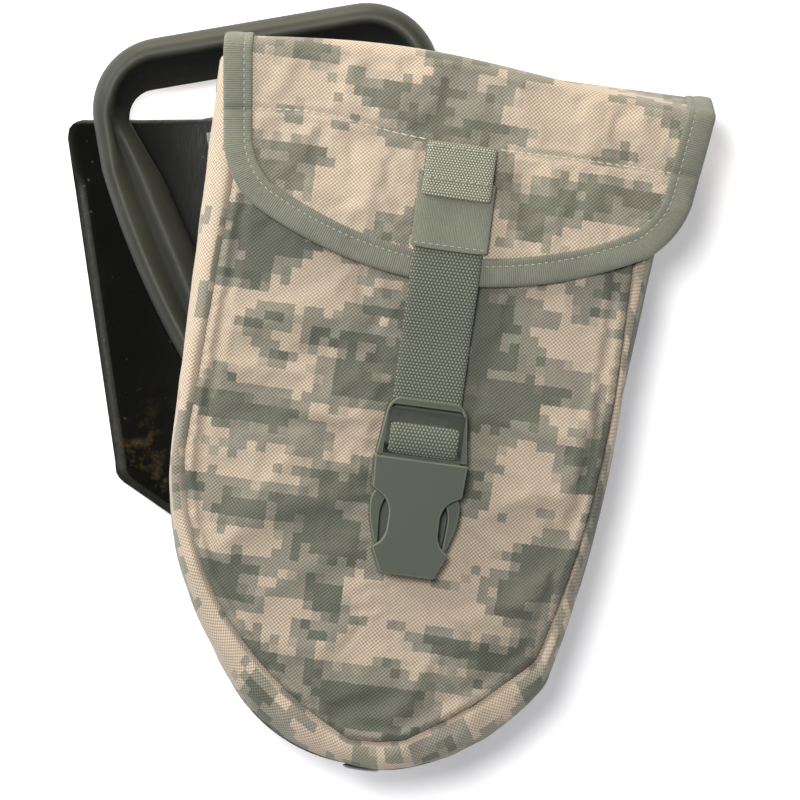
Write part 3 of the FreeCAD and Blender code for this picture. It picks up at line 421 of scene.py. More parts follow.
def stitches(name, path, pitch, length, radius, place=pouch):
    """A row of thread stitches lying along a path of points, each a little slanted."""
    up = Vector((0, 0, 1))
    last = STITCH_SIDES * (len(STITCH_RINGS) - 1)
    total = lengths(path)
    count = int(total[-1] / pitch)
    line = resampled(path, count * 4 + 1)
    points, faces = [], []
    for i in range(count):
        a, b = Vector(line[i * 4]), Vector(line[i * 4 + 4])
        along = (b - a).normalized()
        middle = (a + b) / 2
        side = along.cross(up).normalized()
        along = (along + side * STITCH_SLANT).normalized()
        first = len(points)
        for t, r, lift in STITCH_RINGS:
            for m in range(STITCH_SIDES):
                turn = 2 * math.pi * m / STITCH_SIDES
                around = side * math.cos(turn) + up * math.sin(turn)
                points.append(middle + along * t * length + around * r * radius + up * (lift * radius))
        for ring in range(first, first + last, STITCH_SIDES):
            for m in range(STITCH_SIDES):
                n = (m + 1) % STITCH_SIDES
                faces.append((ring + m, ring + n, ring + STITCH_SIDES + n, ring + STITCH_SIDES + m))
        faces.append(tuple(first + m for m in range(STITCH_SIDES)))
        faces.append(tuple(first + last + m for m in range(STITCH_SIDES)))
    return faces_out(new_object(name, points, faces, place))


# ---------------------------------------------------------------- materials

class Shader:
    """Builds one node material."""

    def __init__(self, name, **sockets):
        self.material = bpy.data.materials.new(name)
        self.material.use_nodes = True
        self.tree = self.material.node_tree
        self.shader = self.tree.nodes["Principled BSDF"]
        self.set(**sockets)
        self.coords = self.tree.nodes.new("ShaderNodeTexCoord")

    def set(self, **sockets):
        """Numbers, colours or other nodes for the surface's own sockets."""
        for name, value in sockets.items():
            socket = self.shader.inputs[name.replace("_", " ")]
            self.feed(socket, value)

    def feed(self, socket, value):
        """A link from another node, or a fixed value, or nothing for None."""
        if isinstance(value, bpy.types.NodeSocket):
            self.tree.links.new(value, socket)
        elif value is not None:
            socket.default_value = value

    def node(self, kind, inputs=None, **settings):
        made = self.tree.nodes.new("ShaderNode" + kind)
        for key, value in settings.items():
            setattr(made, key, value)
        for key, value in (inputs or {}).items():
            self.feed(made.inputs[key], value)
        return made

    def math(self, operation, a, b=None, c=None):
        return self.node("Math", {0: a, 1: b, 2: c}, operation=operation).outputs[0]

    def vector(self, operation, a, b=None, c=None):
        return self.node("VectorMath", {0: a, 1: b, 2: c}, operation=operation).outputs[0]

    def noise(self, vector, scale, detail=2.0, rough=0.5):
        inputs = {"Vector": vector, "Scale": scale, "Detail": detail, "Roughness": rough}
        return self.node("TexNoise", inputs).outputs["Fac"]

    def ramp(self, value, stops):
        """Colours or greys at places from 0 to 1, with straight runs between them."""
        made = self.node("ValToRGB", {0: value})
        elements = made.color_ramp.elements
        while len(elements) < len(stops):
            elements.new(0.5)
        for element, (place, colour) in zip(elements, stops):
            element.position = place
            element.color = colour if hasattr(colour, "__len__") else (colour, colour, colour, 1)
        return made.outputs[0]

    def blend(self, share, a, b, kind="MIX"):
        made = self.node("MixRGB", {0: share, 1: a, 2: b}, blend_type=kind)
        return made.outputs[0]

    def bump(self, height, strength, distance, normal=None):
        inputs = {"Height": height, "Strength": strength, "Distance": distance, "Normal": normal}
        return self.node("Bump", inputs).outputs[0]

    def split(self, vector):
        made = self.node("SeparateXYZ", {0: vector})
        return made.outputs[0], made.outputs[1], made.outputs[2]


# how much brighter than its own colour a surface shows under this scene's light
LIGHT_LEVEL = 1.55


def rgb(red, green, blue):
    """The surface colour that shows as this colour, 0 to 255, under this scene's light."""
    def linear(value):
        value /= 255
        return value / 12.92 if value <= 0.04045 else ((value + 0.055) / 1.055) ** 2.4
    return linear(red) / LIGHT_LEVEL, linear(green) / LIGHT_LEVEL, linear(blue) / LIGHT_LEVEL, 1.0


def weave(shader, uv, across, along):
    """Height of a plain weave: raised where one thread passes over the other."""
    u, v, _ = shader.split(uv)
    a = shader.math("SINE", shader.math("MULTIPLY", u, 2 * math.pi / across))
    b = shader.math("SINE", shader.math("MULTIPLY", v, 2 * math.pi / along))
    return shader.math("MULTIPLY_ADD", shader.math("MULTIPLY", a, b), 0.5, 0.5)


CAMO_CELL = 3.4
CAMO_TAN = rgb(213, 194, 171)
CAMO_GREY = rgb(155, 150, 134)
CAMO_GREEN = rgb(108, 111, 96)


def camouflage(name, shift, spots=(), lift=0.0, painted_light=1.0, dark=CAMO_GREEN):
    """Pixel camouflage printed on a coarse plain weave.

    spots are x, y, half width, half height and lightness of areas that are mostly tan or mostly green.
    lift moves the whole print towards tan; bright and a paler dark are painted light: a lit copy of the
    print, with a lighter weave and a paler green.
    """
    s = Shader(name, Roughness=0.92, Sheen_Weight=0.1, Sheen_Roughness=0.5)
    uv = s.coords.outputs["UV"]
    frayed = s.node("TexNoise", {"Vector": uv, "Scale": 1.3, "Detail": 1.0}).outputs["Color"]
    place = s.vector("MULTIPLY_ADD", frayed, (1.3, 1.3, 0.0), uv)
    pixel = s.vector("SNAP", place, (CAMO_CELL, CAMO_CELL, CAMO_CELL))
    moved = s.vector("MULTIPLY_ADD", pixel, (0.7, 1.25, 0.0), (shift[0], shift[1], 0.0))
    broad = s.noise(moved, 0.034, 1.0, 0.45)
    ragged = s.noise(moved, 0.085, 1.0, 0.5)
    specks = s.noise(s.vector("ADD", pixel, (91.0, 37.0, 5.0)), 0.19, 0.0, 0.5)
    tone = s.math("MULTIPLY_ADD", s.math("SUBTRACT", ragged, 0.5), 0.5, s.math("ADD", broad, lift))
    tone = s.math("MULTIPLY_ADD", s.math("SUBTRACT", specks, 0.5), 0.24, tone)
    for x, y, wide, high, light in spots:
        away = s.vector("MULTIPLY_ADD", pixel, (1 / wide, 1 / high, 0.0), (-x / wide, -y / high, 0.0))
        away = s.node("VectorMath", {0: away}, operation="LENGTH").outputs["Value"]
        share = s.node("MapRange", {"Value": away, "From Min": 0.4, "From Max": 1.5, "To Min": light,
                                    "To Max": 0.0}, interpolation_type="SMOOTHSTEP").outputs["Result"]
        tone = s.math("ADD", tone, share)
    colour = s.ramp(tone, [(0.0, dark), (0.43, dark), (0.455, CAMO_GREY), (0.54, CAMO_GREY),
                           (0.57, CAMO_TAN)])
    cloth = weave(s, uv, 1.45, 1.45)
    fibre = s.noise(uv, 1.6, 3.0, 0.6)
    # the weave's shade, lightened all over on lit copies of the print (painted light)
    shade = s.math("MULTIPLY_ADD", cloth, 0.74 * painted_light, 0.48 * painted_light)
    shade = s.math("MULTIPLY_ADD", fibre, 0.3, shade)
    colour = s.blend(1.0, colour, s.math("SUBTRACT", shade, 0.15), "MULTIPLY")
    wear_and_highlight = s.noise(uv, 0.03, 3.0, 0.6)
    colour = s.blend(s.ramp(wear_and_highlight, [(0.35, 0.0), (0.75, 0.18)]), colour, CAMO_GREY)
    normal = s.bump(cloth, 0.5, 0.0005)
    normal = s.bump(s.noise(uv, 0.35, 2.0), 0.3, 0.0006, normal)
    s.set(Base_Color=colour, Normal=normal)
    return s.material


def ribbed_tape(name, colour, rib, dark=0.72, depth=0.24):
    """A flat woven tape with fine ribs across it."""
    s = Shader(name, Roughness=0.85, Sheen_Weight=0.1, Sheen_Roughness=0.5)
    uv = s.coords.outputs["UV"]
    u, v, _ = s.split(uv)
    ribs = s.math("SINE", s.math("MULTIPLY", u, 2 * math.pi / rib))
    ribs = s.math("MULTIPLY_ADD", ribs, 0.5, 0.5)
    fibre = s.noise(s.vector("MULTIPLY", uv, (1.0, 0.25, 1.0)), 1.4, 3.0, 0.6)
    broad = s.noise(uv, 0.05, 2.0, 0.5)
    shade = s.math("MULTIPLY_ADD", ribs, depth, dark - depth / 2)
    shade = s.math("MULTIPLY_ADD", fibre, 0.4, shade)
    shade = s.math("MULTIPLY_ADD", s.math("SUBTRACT", broad, 0.5), 0.7, shade)
    colour = s.blend(1.0, colour, shade, "MULTIPLY")
    s.set(Base_Color=colour, Normal=s.bump(ribs, 0.5, 0.0004))
    return s.material


def webbing(name, colour, dash=1.27, row=1.15):
    """Heavy webbing: rows of raised threads, each row shifted by half a dash, with dark gaps between them."""
    s = Shader(name, Roughness=0.8, Sheen_Weight=0.1, Sheen_Roughness=0.5)
    uv = s.coords.outputs["UV"]
    u, v, _ = s.split(uv)
    beads = s.math("SINE", s.math("MULTIPLY", u, 2 * math.pi / dash))
    lines = s.math("SINE", s.math("MULTIPLY", v, math.pi / row))
    beads = s.math("MULTIPLY_ADD", s.math("MULTIPLY", beads, s.math("SIGN", lines)), 0.42, 0.58)
    threads = s.math("MULTIPLY", beads, s.math("POWER", s.math("ABSOLUTE", lines), 0.6))
    fibre = s.noise(uv, 2.2, 2.0, 0.6)
    shade = s.math("MULTIPLY_ADD", threads, 1.15, 0.10)
    shade = s.math("MULTIPLY_ADD", s.math("SUBTRACT", fibre, 0.5), 0.5, shade)
    s.set(Base_Color=s.blend(1.0, colour, shade, "MULTIPLY"), Normal=s.bump(threads, 0.8, 0.0006))
    return s.material


def moulded_plastic(name, colour, rough):
    """Moulded plastic with a fine grain."""
    s = Shader(name, Specular_IOR_Level=0.3)
    place = s.coords.outputs["Object"]
    grain = s.noise(place, 2400.0, 2.0)
    broad = s.noise(place, 90.0, 3.0)
    shade = s.ramp(broad, [(0.3, 0.88), (0.7, 1.0)])
    s.set(Base_Color=s.blend(1.0, colour, shade, "MULTIPLY"),
          Roughness=s.math("MULTIPLY_ADD", broad, 0.16, rough - 0.08),
          Normal=s.bump(grain, 0.15, 0.0001))
    return s.material


def painted_steel(name, colour, rough, scratch, dirt=0.0, gloss=0.5):
    """Paint on steel, with fine scratches and specks of wear.

    The mesh's own attributes say where it has dried dirt, where a painted highlight lightens its edges, and
    where painted shade darkens its recesses.
    """
    s = Shader(name, Specular_IOR_Level=gloss)
    place = s.coords.outputs["Object"]
    broad = s.noise(place, 60.0, 3.0)
    streaks = s.noise(s.vector("MULTIPLY", place, (1.0, 0.06, 1.0)), 2600.0, 2.0, 0.6)
    specks = s.noise(place, 420.0, 1.0)
    share = s.math("MULTIPLY", s.ramp(specks, [(0.74, 0.0), (0.78, 1.0)]), scratch)
    colour = s.blend(share, colour, (0.10, 0.10, 0.09, 1))
    shade = s.ramp(broad, [(0.3, 0.7), (0.7, 1.0)])
    colour = s.blend(1.0, colour, shade, "MULTIPLY")
    # Painted highlight: where the mesh marks an edge, the paint is lighter, broken up by noise.
    wear_and_highlight = s.node("Attribute", attribute_name="wear_and_highlight").outputs["Fac"]
    edge_highlight = s.math("MULTIPLY", wear_and_highlight, s.ramp(s.noise(place, 700.0, 3.0, 0.7), [(0.3, 0.35), (0.7, 1.0)]))
    colour = s.blend(edge_highlight, colour, (0.16, 0.16, 0.14, 1))
    if dirt:
        soil = s.noise(place, 130.0, 5.0, 0.7)
        near = s.node("Attribute", attribute_name="soil").outputs["Fac"]
        share = s.math("MULTIPLY", s.ramp(soil, [(0.5, 0.0), (0.7, dirt)]), near)
        colour = s.blend(share, colour, (0.09, 0.062, 0.028, 1))
    # Painted shade: where the mesh marks a recess, the paint goes near black, and rougher.
    recess_shade = s.node("Attribute", attribute_name="recess_shade").outputs["Fac"]
    colour = s.blend(recess_shade, colour, (0.002, 0.002, 0.0015, 1))
    rough = s.math("MULTIPLY_ADD", streaks, 0.22, s.math("MULTIPLY_ADD", broad, 0.12, rough - 0.17))
    s.set(Base_Color=colour, Roughness=s.math("MULTIPLY_ADD", recess_shade, 0.4, rough),
          Normal=s.bump(specks, 0.05, 0.0002))
    return s.material


def plated_steel(name, colour, rough):
    """Bare or plated steel with fine streaks."""
    s = Shader(name, Metallic=1.0)
    place = s.coords.outputs["Object"]
    broad = s.noise(place, 90.0, 4.0)
    streaks = s.noise(s.vector("MULTIPLY", place, (0.1, 1.0, 1.0)), 3000.0, 2.0)
    shade = s.ramp(broad, [(0.3, 0.75), (0.7, 1.1)])
    s.set(Base_Color=s.blend(1.0, colour, shade, "MULTIPLY"),
          Roughness=s.math("MULTIPLY_ADD", streaks, 0.25, rough - 0.1))
    return s.material


# areas of the pouch's cloth that are mostly tan or mostly green: x, y, half width, half height, lightness
FLAP_SPOTS = [
    (-32, 208, 18, 10, 0.12), (-6, 250, 22, 10, 0.11), (56, 207, 20, 8, 0.11), (24, 222, 9, 12, 0.09),
    (-70, 228, 14, 8, 0.08), (-60, 204, 10, 8, -0.08), (24, 200, 10, 7, -0.09), (44, 238, 20, 6, -0.04),
    (-40, 246, 18, 6, -0.06), (64, 226, 16, 8, 0.06),
]
FRONT_SPOTS = [
    (-82, 160, 9, 30, 0.11), (-62, 112, 26, 10, 0.12), (34, 112, 10, 8, 0.11), (28, 84, 14, 16, 0.10),
    (12, 64, 44, 9, 0.11), (-34, 46, 26, 10, 0.09), (56, 60, 12, 16, 0.11), (54, 174, 14, 14, 0.11),
    (-54, 78, 16, 6, 0.08), (-2, 142, 36, 20, -0.09), (-24, 94, 20, 12, -0.10), (-62, 62, 16, 8, -0.09),
    (37, 40, 8, 8, -0.12), (4, 28, 20, 6, -0.08), (-50, 30, 9, 9, -0.09), (32, 140, 18, 10, -0.08),
]
# the same along the band from the mouth's left end, and up it, with the front's seam at SEAM_PRINT
SEAM_PRINT = 40.0
GUSSET_SPOTS = [
    (110, 36, 50, 20, 0.10), (290, 32, 9, 10, 0.11), (307, 28, 5, 6, 0.09), (346, 32, 9, 10, 0.11),
    (326, 30, 12, 10, -0.08), (299, 30, 4, 8, -0.08), (200, 34, 14, 12, 0.08),
]

MATERIALS = {
    "front": camouflage("camo_front", (40.0, 12.0), FRONT_SPOTS),
    # Painted light: the flap and the side band are lit copies of the print, their weave lightened all over
    # and the flap's green made paler.
    "flap": camouflage("camo_flap", (310.0, 95.0), FLAP_SPOTS, lift=0.05, painted_light=1.12,
                       dark=rgb(124, 123, 107)),
    "gusset": camouflage("camo_gusset", (120.0, 400.0), GUSSET_SPOTS, lift=0.05, painted_light=1.16),
    "back": camouflage("camo_back", (700.0, 30.0)),
    "lining": ribbed_tape("lining_cloth", rgb(112, 112, 96), rib=0.7),
    "binding": ribbed_tape("binding_tape", rgb(136, 138, 122), rib=0.8),
    "thread": ribbed_tape("stitch_thread", rgb(176, 178, 158), rib=0.3, dark=0.85),
    "pale_thread": ribbed_tape("flap_thread", rgb(212, 206, 186), rib=0.3, dark=0.9),
    "webbing": webbing("webbing_weave", rgb(142, 148, 129)),
    "anchor": webbing("anchor_weave", rgb(208, 209, 182), dash=1.1, row=0.9),
    "smooth_tape": ribbed_tape("cover_tape", rgb(137, 140, 122), rib=0.6, dark=0.75, depth=0.12),
    "buckle": moulded_plastic("buckle_moulding", rgb(70, 77, 64), 0.48),
    # painted highlight: a lighter plastic for the buckle's bevelled edges
    "buckle_highlight_edge": moulded_plastic("buckle_painted_highlight", rgb(112, 119, 102), 0.4),
    "blade": painted_steel("blade_paint", rgb(21, 22, 18), 0.36, scratch=0.4, dirt=0.9, gloss=0.05),
    "handle": painted_steel("handle_paint", rgb(66, 68, 57), 0.52, scratch=0.25, gloss=0.3),
    "dark_steel": painted_steel("shaft_paint", rgb(42, 42, 39), 0.4, scratch=0.4),
    "zinc": plated_steel("zinc_plate", (0.36, 0.36, 0.35, 1), 0.38),
    "pin": plated_steel("pin_steel", (0.22, 0.22, 0.22, 1), 0.35),
    "eyelet": painted_steel("eyelet_paint", rgb(26, 26, 26), 0.35, scratch=0.3),
}


def dress(obj, body, material, slot, *nodes):
    """Give a piece its material, its body and the CAD nodes it stands for. The slot is not used."""
    obj.data.materials.clear()
    obj.data.materials.append(MATERIALS[material])
    # buckle pieces get a second material for their bevels, a painted highlight
    if material == "buckle":
        obj.data.materials.append(MATERIALS["buckle_highlight_edge"])
    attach(obj, body)
    if nodes:
        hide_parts(*nodes)
    return obj


def mark_points(obj, name, values):
    """A number for each point of a mesh, which its material reads by name."""
    marks = obj.data.attributes.new(name, "FLOAT", "POINT")
    marks.data.foreach_set("value", values)


# ---------------------------------------------------------------- blade, in the shovel's frame

BLADE_THICK = 2.0
BLADE_TOP, BLADE_CORNER, BLADE_ELBOW = 209.1, 202.4, 80.0
BLADE_TAPER, BLADE_TIP, BLADE_END = 70.4, 8.0, 3.9
BLADE_RIGHT = [(69.5, BLADE_TOP, -7.0), (76.2, BLADE_CORNER, None), (79.1, BLADE_ELBOW, -8.0),
               (75.6, BLADE_TAPER, None), (13.0, BLADE_TIP, -10.0), (6.5, 4.0, None), (0.0, 3.6, None)]
BLADE_PATH = bent_path(BLADE_RIGHT, 3.0)
BLADE_ROUND = 24.0


def blade_half_width(y):
    """Half the blade's width at y, from its right-hand outline."""
    for a, b in zip(BLADE_PATH, BLADE_PATH[1:]):
        if b.y <= y <= a.y:
            return mix(b.x, a.x, (y - b.y) / max(a.y - b.y, 1e-9))
    return BLADE_PATH[0].x if y > BLADE_PATH[0].y else 0.0


def dish(x):
    """Height of the blade's underside: flat in the middle, curling up to both edges."""
    run, rise, flat = 54.4, 12.0, 26.0
    radius = (run ** 2 + rise ** 2) / (2 * rise)
    out = max(0.0, abs(x) - flat)
    return radius - math.sqrt(radius ** 2 - out ** 2)


def build_blade():
    """Rows of points across the blade from its top to its tip, closer together where the outline turns."""
    edge_steps = [0.0, 0.15, 0.6, 3.8, 4.2, 6.2]
    inner = 24
    heights = [BLADE_TOP, 208.95, 208.4, 207.4, 205.8, 203.8, BLADE_CORNER]
    heights += [mix(BLADE_CORNER, BLADE_ELBOW, i / 30) for i in range(1, 31)]
    heights += [78.0, 76.0, 74.0, 72.0, BLADE_TAPER]
    heights += [mix(BLADE_TAPER, BLADE_TIP, i / 18) for i in range(1, 19)]
    heights += [6.6, 5.4, 4.4, BLADE_END]
    rows, soil, wear_and_highlight = [], [], []
    for y0 in heights:
        half = blade_half_width(y0)
        scale = min(1.0, half / BLADE_ROUND)
        drop = 11.8 * smooth((y0 - 150) / 59.0)
        offsets = [half - e * scale for e in edge_steps]
        middle = [offsets[-1] * (1 - i / inner) for i in range(1, inner)]
        xs = [-o for o in offsets + middle] + [0.0] + middle[::-1] + offsets[::-1]
        edge = 1.0 if heights[0] - y0 > 0.1 and y0 - heights[-1] > 0.1 else 0.0
        top, bottom, dirty, edge_highlight = [], [], [], []
        for x in xs:
            d = half - abs(x)
            y = y0 - drop * (1 - min(1.0, abs(x) / 74.0))
            slope = max(0.0, 1 - d / (4.0 * scale + 0.01)) if y0 < 190 else 0.0
            ground = 1.25 * slope * scale
            lip = 0.3 * (1 - smooth(d / (0.6 * scale + 0.01)))
            end = 0.55 * (1 - smooth((BLADE_TOP - y0) / 0.9)) + 0.8 * (1 - smooth((y0 - BLADE_END) / 1.2))
            wave = 0.12 * ripple(x, y, 38.0, 3.0)
            z = dish(x)
            upper = BLADE_THICK - ground - (lip + end) * edge - 0.5 * (1 - edge) + wave * edge
            lower = (lip * 0.8 + end * 0.6) * edge + 0.3 * (1 - edge) + wave * edge
            top.append((x, y, z + upper))
            bottom.append((x, y, z + lower))
            dirty.append(bell(d / 22, 1.0) * smooth((112 - y) / 40))
            # Painted highlight: the bevelled side strips and the top edge are marked for lighter paint, where
            # light catches them.
            sharp = 0.12 if slope > 0.02 else 0.0
            edge_highlight.append(sharp * smooth((188 - y0) / 12) + bell(BLADE_TOP - y0, 0.8))
        rows.append(top + bottom[::-1])
        soil += dirty + dirty[::-1]
        wear_and_highlight += edge_highlight + edge_highlight[::-1]
    blade = loft("blade_sheet", rows, shovel, closed=True, caps=True)
    mark_points(blade, "soil", soil)
    mark_points(blade, "wear_and_highlight", wear_and_highlight)
    dress(blade, "blade", "blade", "black_paint", "blade")


build_blade()

# ---------------------------------------------------------------- handle, in the shovel's frame

HANDLE_RUNS = [
    # outer run, inner run, stations, profile
    ([(0, 233.2, None), (38.2, 233.2, None)], [(0, 214, None), (42, 214, None)], 12, "grip"),
    ([(38.2, 233.2, -27), (65.2, 206, None)], [(42, 214, -9.8), (51.6, 204, None)], 14, "grip"),
    ([(65.2, 206, None), (65.2, 188, None)], [(51.6, 204, None), (42.4, 180, None)], 8, "arm"),
    ([(65.2, 188, -330), (45.7, 108, None)], [(42.4, 180, None), (34.4, 148, None), (26.7, 108, None)],
     24, "arm"),
    ([(45.7, 108, None), (22, 22, None)], [(26.7, 108, None), (13.6, 40, None), (13.6, 17, None)],
     20, "arm"),
    ([(22, 20.5, None), (17.5, -9.3, None)], [(5.5, 16.5, None), (5.5, -9.3, None)], 14, "foot"),
]


HANDLE_HEEL = 9.5


def handle_profile(kind, width):
    """Distance in from the outer edge, height above the middle plane and how much painted shade darkens the
    paint there, going inwards.
    """
    far = width / 22
    shapes = {
        "grip": [(0, 0, 0), (0.2, 3.4, 0), (1.5, 6.2, 0), (3.4, 8.4, 0), (5.6, 9.0, 0), (7.8, 8.7, 0),
                 (8.9, 6.4, 0.5), (9.6, 2.0, 1), (width - 2.4, 1.0, 1), (width - 0.5, 1.6, 0.9),
                 (width, 0, 0.3)],
        "arm": [(0, 0, 0), (0.2, 3.0, 0), (1.4, 6.4, 0), (4.4, 9.0, 0), (7.4, 7.4, 0), (9.6 * far, 4.6, 0.6),
                (11.6 * far, 4.6, 0.6), (14.0 * far, 6.4, 0.1), (17.0 * far, 4.6, 0.4),
                (width - 1.2, 2.4, 0.6), (width, 0, 0.2)],
        "foot": [(0, 0, 0), (0.3, 5.0, 0), (1.2, 7.9, 0), (2.8, 9.0, 0), (width * 0.4, 9.0, 0),
                 (width * 0.5, 9.0, 0), (width * 0.6, 9.0, 0), (width * 0.7, 9.0, 0), (width - 1.2, 8.6, 0),
                 (width - 0.3, 7.4, 0), (width, 0, 0)],
    }
    return shapes[kind]


def build_handle():
    """The grip, the arms and the feet as one loop, each profile passing smoothly into the next."""
    stations = []
    for outer, inner, count, kind in HANDLE_RUNS:
        o = resampled(bent_path(outer, 2.0), count + 1)
        i = resampled(bent_path(inner, 2.0), count + 1)
        stations += [(a, b, kind) for a, b in zip(o, i)][: None if kind == "foot" else -1]
    names = ("grip", "arm", "foot")
    weights = []
    for k, (_, _, kind) in enumerate(stations):
        near = ["foot"] if kind == "foot" else [station[2] for station in stations[max(0, k - 3):k + 4]]
        weights.append([near.count(n) / len(near) for n in names])
    rows, recess_shade = [], []
    for side in (-1, 1):
        order = range(len(stations) - 1, -1, -1) if side < 0 else range(1, len(stations))
        for k in order:
            o, i, _ = stations[k]
            width = (o - i).length
            shapes = [handle_profile(n, width) for n in names]
            profile = []
            for m in range(len(shapes[0])):
                profile.append([sum(w * s[m][c] for w, s in zip(weights[k], shapes)) for c in range(3)])
            heel = math.sqrt(max(0.0, 1 - (min(0.0, o.y) / HANDLE_HEEL) ** 2))
            half = []
            for d, z, dark in profile:
                p = o.lerp(i, d / width)
                half.append((side * p.x, p.y, z * heel, dark))
            row = [(x, y, SHAFT_HEIGHT + z) for x, y, z, _ in half]
            row += [(x, y, SHAFT_HEIGHT - z) for x, y, z, _ in half[-2:0:-1]]
            rows.append(row)
            recess_shade += [p[3] for p in half + half[-2:0:-1]]
    handle = loft("d_handle_moulding", rows, shovel, closed=True, caps=True)
    # Painted shade: the inner recess of the grip and arms is marked to be painted near black, as if in shade.
    mark_points(handle, "recess_shade", recess_shade)
    smoothed(handle, 2)
    dress(handle, "handle", "handle", "olive_black_paint", "d_handle")


build_handle()

# ---------------------------------------------------------------- pouch outlines, in the pouch's frame

SIDE = [(-91, 261.4, None), (-90, 108, 123), (-65, 38, 59), (-13, 2, 50), (13, 3.6, 68), (56, 41, 458),
        (70, 150, None), (80, 261.4, None)]
SEAM = [(-79, 261.4, None), (-85.5, 108, 109), (-60, 47, 143), (-13, 12, 60), (8, 14, 200), (52, 49, 392),
        (68, 160, None), (68, 261.4, None)]
RUN_STEPS = (52, 26, 22, 10, 20, 36, 38)
MOUTH_Y = 246.0
BACK_LEVEL, FOOT_LEVEL = 50.0, 0.8
EYELET_X, EYELET_Z, EYELET_LEAN = -6.5, 60.0, 0.08


def ring_points(corners):
    """An outline's points. Both outlines have the same number of them, so that they pair up."""
    path = []
    for a, b, count in zip(corners, corners[1:], RUN_STEPS):
        path += bent_run(a, b, a[2], count)
    return path + [Vector(corners[-1][:2])]


SIDE_RING = ring_points(SIDE)
SEAM_RING = ring_points(SEAM)


def back_z(x):
    """Height of the pouch's back: on the shovel at the left, down to the ground at the right."""
    fall = (x - 2.0) / 56.0
    soft = smooth(fall) * 0.35 + 0.65 * max(0.0, min(1.0, fall))
    return mix(BACK_LEVEL, FOOT_LEVEL, soft)


# soft folds in the front cloth: start, end, width, height
FOLDS = [
    ((20, 60), (44, 70), 5.0, 3.0),
    ((44, 70), (60, 90), 5.0, 2.6),
    ((36, 47), (46, 36), 5.5, -3.2),
    ((22, 40), (32, 30), 3.5, 1.8),
    ((56, 66), (50, 48), 3.0, -1.8),
    ((-14, 24), (4, 30), 3.5, -1.8),
    ((-30, 28), (-24, 52), 4.0, 1.3),
    ((2, 20), (12, 42), 4.0, 1.6),
    ((14, 150), (34, 186), 6.0, -1.8),
    ((-16, 150), (-34, 186), 6.0, -1.6),
    ((52, 110), (62, 150), 5.0, 1.2),
    ((-74, 70), (-52, 96), 7.0, 1.2),
    ((-60, 128), (-30, 120), 6.0, -1.0),
    ((22, 98), (40, 108), 5.0, 1.1),
    ((15, 3), (13, 14), 2.2, -2.0),
    ((1, 3), (9, 16), 2.6, 1.5),
    ((22, 6), (29, 20), 2.8, 1.6),
    ((33, 14), (37, 26), 2.6, -1.6),
    ((-22, 8), (-18, 22), 3.0, -1.3),
]


def fold_height(x, y):
    """How far the folds raise the cloth at a place."""
    total = 0.0
    for (x0, y0), (x1, y1), width, height in FOLDS:
        dx, dy = x1 - x0, y1 - y0
        t = max(0.0, min(1.0, ((x - x0) * dx + (y - y0) * dy) / (dx * dx + dy * dy)))
        away = math.hypot(x - x0 - t * dx, y - y0 - t * dy)
        total += height * bell(away, width)
    return total


seam_near = edge_finder(resampled(SEAM_RING, 500))


def front_surface(x, y):
    """Height of the front panel: gently domed, puckered along its seam, calm under strap and buckle."""
    d = seam_near(x, y)
    calm = 1 - bell(x, 17.0) * smooth((y - 42) / 8)
    roll = 1.0 * bell(d - 2.4, 2.0) - 3.4 * (1 - smooth(d / 1.8)) - 0.7 * bell(d - 6.5, 2.4)
    along = math.atan2(y - 120, x) * 60
    pucker = 0.6 * ripple(along, d * 0.25, 5.0, 2.0) * bell(d, 11.0) * smooth(d / 1.5)
    dome = 1.6 * smooth(d / 34) * calm - 0.9
    waves = (1.1 * ripple(x, y, 34.0, 1.0) + 0.5 * ripple(x, y, 12.0, 6.0)) * calm * smooth(d / 8)
    return front_z(x) + dome + roll + pucker + waves + fold_height(x, y) * calm


# ---------------------------------------------------------------- pouch shell

def front_held(x, y):
    """The front's cloth is held at its seam, under the strap and under the flap."""
    seam = 1 - smooth((seam_near(x, y) - 1.2) / 3)
    strapped = 0.85 * bell(x, 18) * smooth((y - 40) / 10)
    covered = 0.8 * smooth((y - 184) / 20)
    return max(seam, strapped, covered)


def build_front():
    """The front panel, and its lining behind it."""
    start, stop = below(SEAM_RING, MOUTH_Y)
    outline = SEAM_RING[start:stop]
    outline = [Vector((outline[0].x, MOUTH_Y))] + outline + [Vector((outline[-1].x, MOUTH_Y))]
    outline += closing(outline, 50)
    panel = fabric("front_cloth", outline, 2.3, front_surface)
    relaxed(panel, front_held, slack=0.035, pressure=0.6, cap=2.6)
    thickened(panel, 1.0)
    smoothed(panel)
    dress(panel, "pouch", "front", "camo_fabric", "front_panel")
    inset = [p * 0.955 + Vector((0, 5.8)) for p in outline]
    inner = fabric("front_inner_cloth", inset, 6.0, lambda x, y: front_surface(x, y) - 4.2)
    thickened(inner, 0.6)
    dress(inner, "pouch", "lining", "lining_fabric", "front_lining")
    return panel, inner


